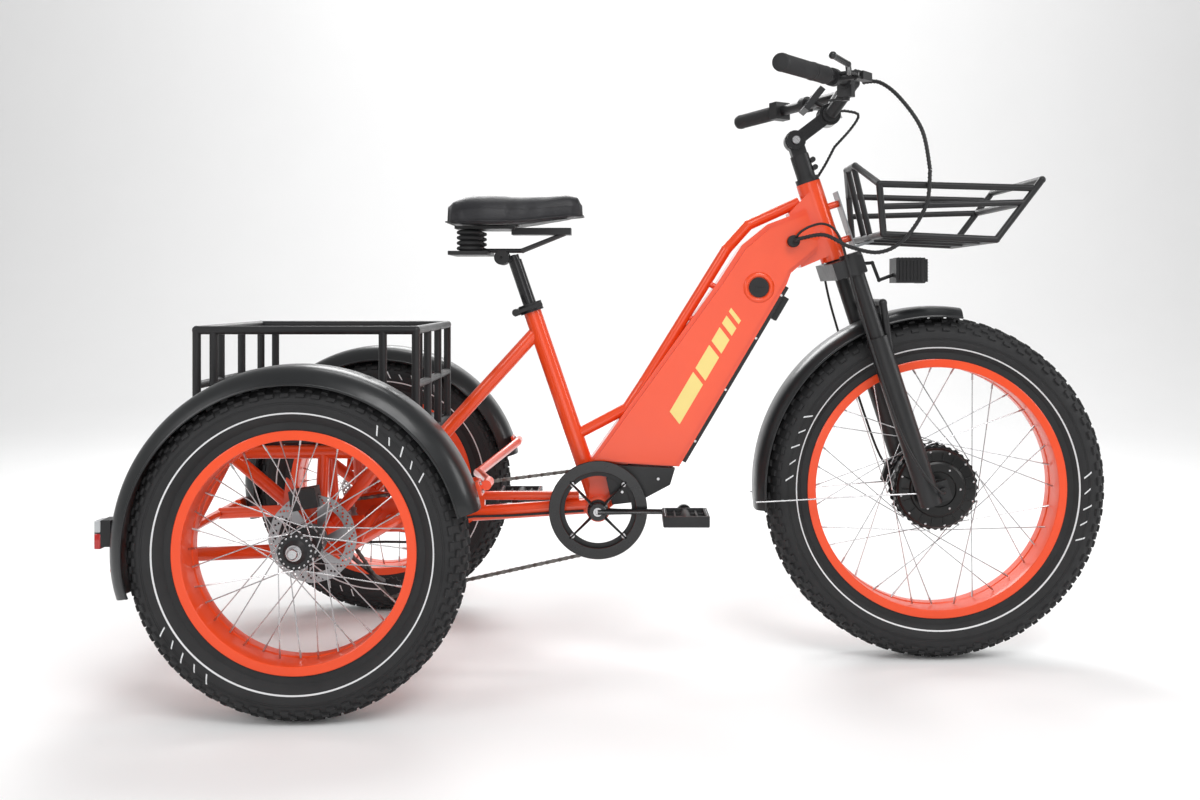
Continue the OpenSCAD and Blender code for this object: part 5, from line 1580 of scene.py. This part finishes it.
@dataclass
class FrontEnd:
    """Fork, stem and handlebar with its controls, sizes in mm."""

    bend: Point = (420.941, 75.0, 1150.45)
    bar_x: Point = (0.8387, 0.5446, 0.0)
    bar_y: Point = (0.0228, -0.0351, -0.9991)
    bar_z: Point = (-0.5442, 0.8379, -0.0419)
    bar_end: float = 330.285
    grip: float = 128.0
    screen: Point = (360.9, 58.0, 1137.5)

    def on_bar(self, mesh: bpy.types.Mesh, side: int) -> bpy.types.Mesh:
        """Places a piece drawn along +Z of the bar's end, on one side."""
        made = placed(mesh, seat_frame(self.bend, self.bar_x, self.bar_y, self.bar_z))
        return made if side > 0 else mirrored(made)

    def sleeve(self, z0: float, length: float, ribs: int, r: float) -> bpy.types.Mesh:
        """Returns a ribbed sleeve along Z with a collar at each end."""
        profile = [(z0, 11.4), (z0, r - 0.6), (z0 + 1, r), (z0 + 5, r), (z0 + 6, r - 1.5)]
        span = (length - 14.0) / ribs
        for k in range(ribs):
            base = z0 + 7 + span * k
            profile += [(base, r - 1.6), (base + span * 0.25, r - 0.5),
                        (base + span * 0.7, r - 0.5), (base + span * 0.95, r - 1.6)]
        profile += [(z0 + length - 6, r - 1.5), (z0 + length - 5, r), (z0 + length - 1, r),
                    (z0 + length, r - 0.6), (z0 + length, 11.4)]
        return turned(profile, (0.0, 0.0, 0.0), (0, 0, 1), 48)

    def grips(self) -> None:
        """Makes the two ribbed grips and the throttle sleeve."""
        start = self.bar_end - self.grip
        cap = turned([(self.bar_end + 0.2, 0.1), (self.bar_end + 0.2, 16.2),
                      (self.bar_end + 3.6, 15.6), (self.bar_end + 5.0, 13.0),
                      (self.bar_end + 5.0, 0.1)], (0.0, 0.0, 0.0), (0, 0, 1), 40)
        for side, name in ((-1, "right"), (1, "left")):
            mesh = joined([self.on_bar(self.sleeve(start, self.grip, 24, 16.5), side),
                           self.on_bar(cap, side)])
            piece(f"{name}_grip", mesh, RUBBER, "cockpit", ["grips"] if side < 0 else ())
        twist = self.on_bar(self.sleeve(start - 63.0, 62.0, 10, 17.0), -1)
        piece("throttle_sleeve", twist, RUBBER, "throttle", ["throttle_grip"])

    def cockpit(self) -> None:
        """Makes the stem, bar, levers, pods and screen."""
        for node, finish, body, soften in (
                ("stem_base", BLACK, "steering", 0.9), ("stem_arm", GLOSS_BLACK, "cockpit", 1.2),
                ("handlebar", BLACK, "cockpit", 0.0), ("display", PLASTIC, "cockpit", 1.2),
                ("control_pods", PLASTIC, "cockpit", 0.9),
                ("right_brake_lever", GLOSS_BLACK, "right_brake_lever", 1.0),
                ("left_brake_lever", GLOSS_BLACK, "left_brake_lever", 1.0),
                ("shift_lever", PLASTIC, "shift_lever", 0.8)):
            dressed(node, finish, body, soften)
        turn = (Matrix.Translation(Vector(self.screen) * MM)
                @ Matrix.Rotation(math.radians(-52.0), 4, "Y"))
        glass = block((-23, -31, 6.3), (23, 31, 7.1), 0.3, 1)
        piece("display_glass", placed(glass, turn), GLASS, "cockpit")
        keys = [block((-25.5 + 9 * k, 32.0, 6.2), (-19.5 + 9 * k, 35.6, 7.6), 0.6, 1)
                for k in range(5)]
        piece("display_keys", placed(joined(keys), turn), RUBBER, "cockpit")
        pivot = [turned([(0, 0.1), (0, 8.6), (2.2, 7.8), (2.2, 4.0), (1.0, 3.8), (1.0, 0.1)],
                        (316.258, side * 23.9, 1045.694), (0, side, 0), 28)
                 for side in (-1, 1)]
        clamp = []
        for side in (-1, 1):
            for dz in (-13.0, 13.0):
                clamp.append(turned([(0, 0.1), (0, 3.6), (2.4, 3.2), (2.4, 1.8), (1.0, 1.7),
                                     (1.0, 0.1)],
                                    (405.0 - 0.5 * dz * 0.3, side * 15.0, 1106.0 + dz),
                                    (0.84, 0, 0.54), 18))
        piece("stem_bolts", joined(pivot + clamp), STEEL, "cockpit")

    def fork(self) -> None:
        """Makes the fork and the fender's wire stays."""
        dressed("fork_crown", BLACK, "steering", 0.9)
        dressed("fork_lowers", BLACK, "fork_slider", 0.9)
        dressed("front_caliper", BLACK, "fork_slider", 0.8)
        wires = []
        for side in (-1, 1):
            path = [(231.0, side * 59.6, 322.0), (300.0, side * 62.0, 326.0),
                    (440.0, side * 72.0, 336.0), (556.0, side * 80.0, 343.0)]
            wires.append(tube(route(path, 5), 1.6, 8))
        piece("front_fender_stays", joined(wires), STEEL, "fork_slider")

    def build(self) -> None:
        """Makes the whole front end."""
        self.grips()
        self.cockpit()
        self.fork()


# ---------- harness ----------


@dataclass(frozen=True)
class Run:
    """One stretch of cable between two bodies; points in mm."""

    name: str
    points: tuple[Point, ...]
    diameter: float
    bodies: tuple[str, str]
    wrapped: bool = False
    stands_for: tuple[str, ...] = ()

    def build(self) -> None:
        """Makes the cable, spiral wrapped where the real one is."""
        path = route(self.points, 8)
        radius = self.diameter / 2
        parts = [tube(path, radius - (0.9 if self.wrapped else 0.0), 14)]
        if self.wrapped:
            parts.append(Nodes.wound(path, radius - 0.75, 7.5, 0.75, PLASTIC))
        bent(self.name, joined(parts), PLASTIC,
             self.stands_for, 60.0)


MEET: Point = (549.0, -163.0, 970.0)
LEG_RIGHT: Point = (404.0, -110.0, 788.0)
LEG_LEFT: Point = (392.0, 106.0, 790.0)
HOSE_MID: Point = (406.0, 46.0, 1040.0)
RUNS = (
    Run("bar_loom", ((438, -86, 1150), (466, -108, 1146), (500, -130, 1112),
                     (537, -150, 1048), (549, -163, 971.3)), 9.0, ("cockpit", "steering"),
        True, ("bar_harness",)),
    Run("frame_loom", (MEET, (541, -166, 904), (502, -163, 841), (457, -150, 815),
                       (405, -125, 826), (361, -100, 850), (323, -73, 846),
                       (312, -68.3, 842), (307, -63.5, 840)), 9.0, ("steering", "frame"),
        True, ("frame_harness",)),
    Run("motor_lead_upper", ((311, -62.9, 849), (320, -67, 859), (338, -73, 869),
                             (360, -81, 873), (380, -93, 862), (394, -104, 832), LEG_RIGHT),
        5.0, ("frame", "steering")),
    Run("motor_lead_lower", (LEG_RIGHT, (430, -113, 690), (500, -112, 480),
                             (548, -112, 390), (582, -104, 352), (596, -93, 346)), 5.0,
        ("steering", "fork_slider")),
    Run("brake_hose_upper", ((364, 27.9, 893), (380, 66, 858), LEG_LEFT), 5.0,
        ("frame", "steering")),
    Run("brake_hose_lower", (LEG_LEFT, (410, 112, 710), (452, 112, 570), (490, 104, 450),
                             (506, 84, 400), (514, 58.2, 380)), 5.0,
        ("steering", "fork_slider")),
    Run("bar_hose_upper", ((412, 34, 1112), (430, 38, 1113), (455, 45, 1106),
                           (442, 50, 1080), HOSE_MID), 7.0, ("cockpit", "steering"), True),
    Run("bar_hose_lower", (HOSE_MID, (384, 38, 1000), (362, 31, 966), (350, 28.9, 945)),
        7.0, ("steering", "frame"), True),
)


# ---------- studio ----------


@dataclass(frozen=True)
class Studio:
    """The floor, lights and camera; sizes in mm."""

    eye: Point = (-28.5, -2341.0, 739.0)
    lens: float = 34.5
    shift: tuple[float, float] = (-0.021, -0.09)

    def camera(self) -> None:
        """Stands the camera where the machine is seen from its right side."""
        data = bpy.data.cameras.new("camera")
        data.lens, data.sensor_width = self.lens, 36.0
        data.shift_x, data.shift_y = self.shift
        made = bpy.data.objects.new("camera", data)
        made.location = Vector(self.eye) * MM
        made.rotation_euler = (math.radians(90.0), 0.0, 0.0)
        bpy.context.scene.collection.objects.link(made)
        bpy.context.scene.camera = made

    def floor(self) -> None:
        """Lays the white floor that curves up into a wall."""
        profile = [(-9.0, 0.0), (3.4, 0.0)]
        profile += [(3.4 + 2.4 * math.sin(a), 2.4 - 2.4 * math.cos(a))
                    for a in (math.radians(7.5 * k) for k in range(1, 13))]
        profile.append((5.8, 9.0))
        verts = [(x, y, z) for y, z in profile for x in (-14.0, 14.0)]
        faces = [(2 * i, 2 * i + 1, 2 * i + 3, 2 * i + 2) for i in range(len(profile) - 1)]
        made = plain_object("floor", mesh_from(verts, faces, False))
        shade(made.data, 60.0)
        matte = bpy.data.materials.new("white_floor")
        matte.use_nodes = True
        tree = matte.node_tree
        shader = tree.nodes["Principled BSDF"]
        place = tree.nodes.new("ShaderNodeTexCoord")
        cloud = tree.nodes.new("ShaderNodeTexNoise")
        cloud.inputs["Scale"].default_value = 3.0
        tree.links.new(place.outputs["Object"], cloud.inputs["Vector"])
        tint = two_tone(tree, cloud.outputs["Fac"], (0.93,) * 3, (0.95,) * 3)
        tree.links.new(tint, shader.inputs["Base Color"])
        shader.inputs["Roughness"].default_value = 0.9
        made.data.materials.append(matte)

    def light(self, name: str, place: Point, target: Point, size: float, power: float,
              color: Color = (1.0, 1.0, 1.0)) -> None:
        """Hangs one soft light."""
        data = bpy.data.lights.new(name, "AREA")
        data.shape, data.size, data.energy, data.color = "DISK", size, power, color
        made = bpy.data.objects.new(name, data)
        made.location = place
        made.rotation_euler = (Vector(target) - Vector(place)).to_track_quat(
            "-Z", "Y").to_euler()
        bpy.context.scene.collection.objects.link(made)

    def lights(self) -> None:
        """Hangs the studio's lights and sets the pale surroundings."""
        self.light("key", (0.9, -2.6, 3.2), (0.0, 0.0, 0.5), 1.8, 62.0)
        self.light("fill", (-2.8, -2.2, 1.8), (-0.3, 0.0, 0.5), 1.6, 26.0)
        self.light("front", (3.2, -0.6, 1.6), (0.4, 0.0, 0.5), 1.4, 26.0)
        self.light("rim", (-0.6, 2.8, 2.6), (0.0, 0.0, 0.6), 1.8, 48.0)
        self.light("low", (0.2, -3.0, 0.5), (0.0, 0.0, 0.4), 1.6, 9.0)
        self.light("wall", (0.0, 2.2, 5.5), (0.0, 5.6, 2.0), 3.0, 150.0)
        world = bpy.data.worlds.new("studio")
        world.use_nodes = True
        world.node_tree.nodes["Background"].inputs[0].default_value = (1.0, 1.0, 1.0, 1.0)
        world.node_tree.nodes["Background"].inputs[1].default_value = 0.42
        bpy.context.scene.world = world
        view = bpy.context.scene.view_settings
        view.view_transform = "Standard"

    def build(self) -> None:
        """Makes the whole studio."""
        self.camera()
        self.floor()
        self.lights()


# ---------- the machine ----------


BY_SLOT = {"frame_paint": ORANGE, "rim_paint": RIM_ORANGE, "black_metal": BLACK,
           "steel": STEEL, "motor_case": MOTOR, "tyre": TYRE, "rubber": RUBBER,
           "plastic": PLASTIC, "vinyl": VINYL, "grey_metal": GREY, "lamp": LAMP_BLACK,
           "chain": CHAIN}


def carry_over(done: set[str]) -> None:
    """Gives every CAD node that still shows its finish."""
    slots = {p["node"]: p["material_slot"] for p in frame["record"]["subparts"]}
    for node, shown in frame["nodes"].items():
        if node in done:
            continue
        finish = BY_SLOT.get(slots.get(node), PLASTIC)
        shown.data.materials.clear()
        shown.data.materials.append(finish.material())
        LOG.info("%s keeps its shape, in %s", node, finish.name)


def main() -> None:
    """Builds the machine piece by piece."""
    logging.basicConfig(level=logging.INFO, format="%(message)s")
    Studio().build()
    rear = (209.0, 295.0, 239.0, 31.0, 27.0)
    for wheel in (
            Wheel("front", "front_wheel", FRONT_AXLE, 260.0, 345.0, 283.0, 86.0, 22.0,
                  marks=(150.0, -20.0)),
            Wheel("right_rear", "right_wheel", RIGHT_AXLE, *rear, marks=(30.0, -150.0)),
            Wheel("left_rear", "left_wheel", LEFT_AXLE, *rear, Side.LEFT,
                  marks=(60.0, -130.0))):
        wheel.build()
    HubMotor().build()
    RearHub("right_rear", "right_wheel", Side.RIGHT).build()
    RearHub("left_rear", "left_wheel", Side.LEFT).build()
    Fender("front_fender", "fork_slider", "front_fender", FRONT_AXLE, 366.0, 20.0, 82.0,
           187.0).build()
    for name, axle in (("right_rear_fender", RIGHT_AXLE), ("left_rear_fender", LEFT_AXLE)):
        Fender(name, "frame", name, axle, 320.0, 32.0, 12.5, 195.0).build()
    Drive().build()
    Pedals().build()
    Saddle().build()
    FrameSet().build()
    Lamps().build()
    FrontEnd().build()
    for run in RUNS:
        run.build()
    hidden = {n for o in bpy.data.objects for n in (o.get("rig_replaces") or [])}
    carry_over(hidden)


if __name__ == "__main__":
    main()
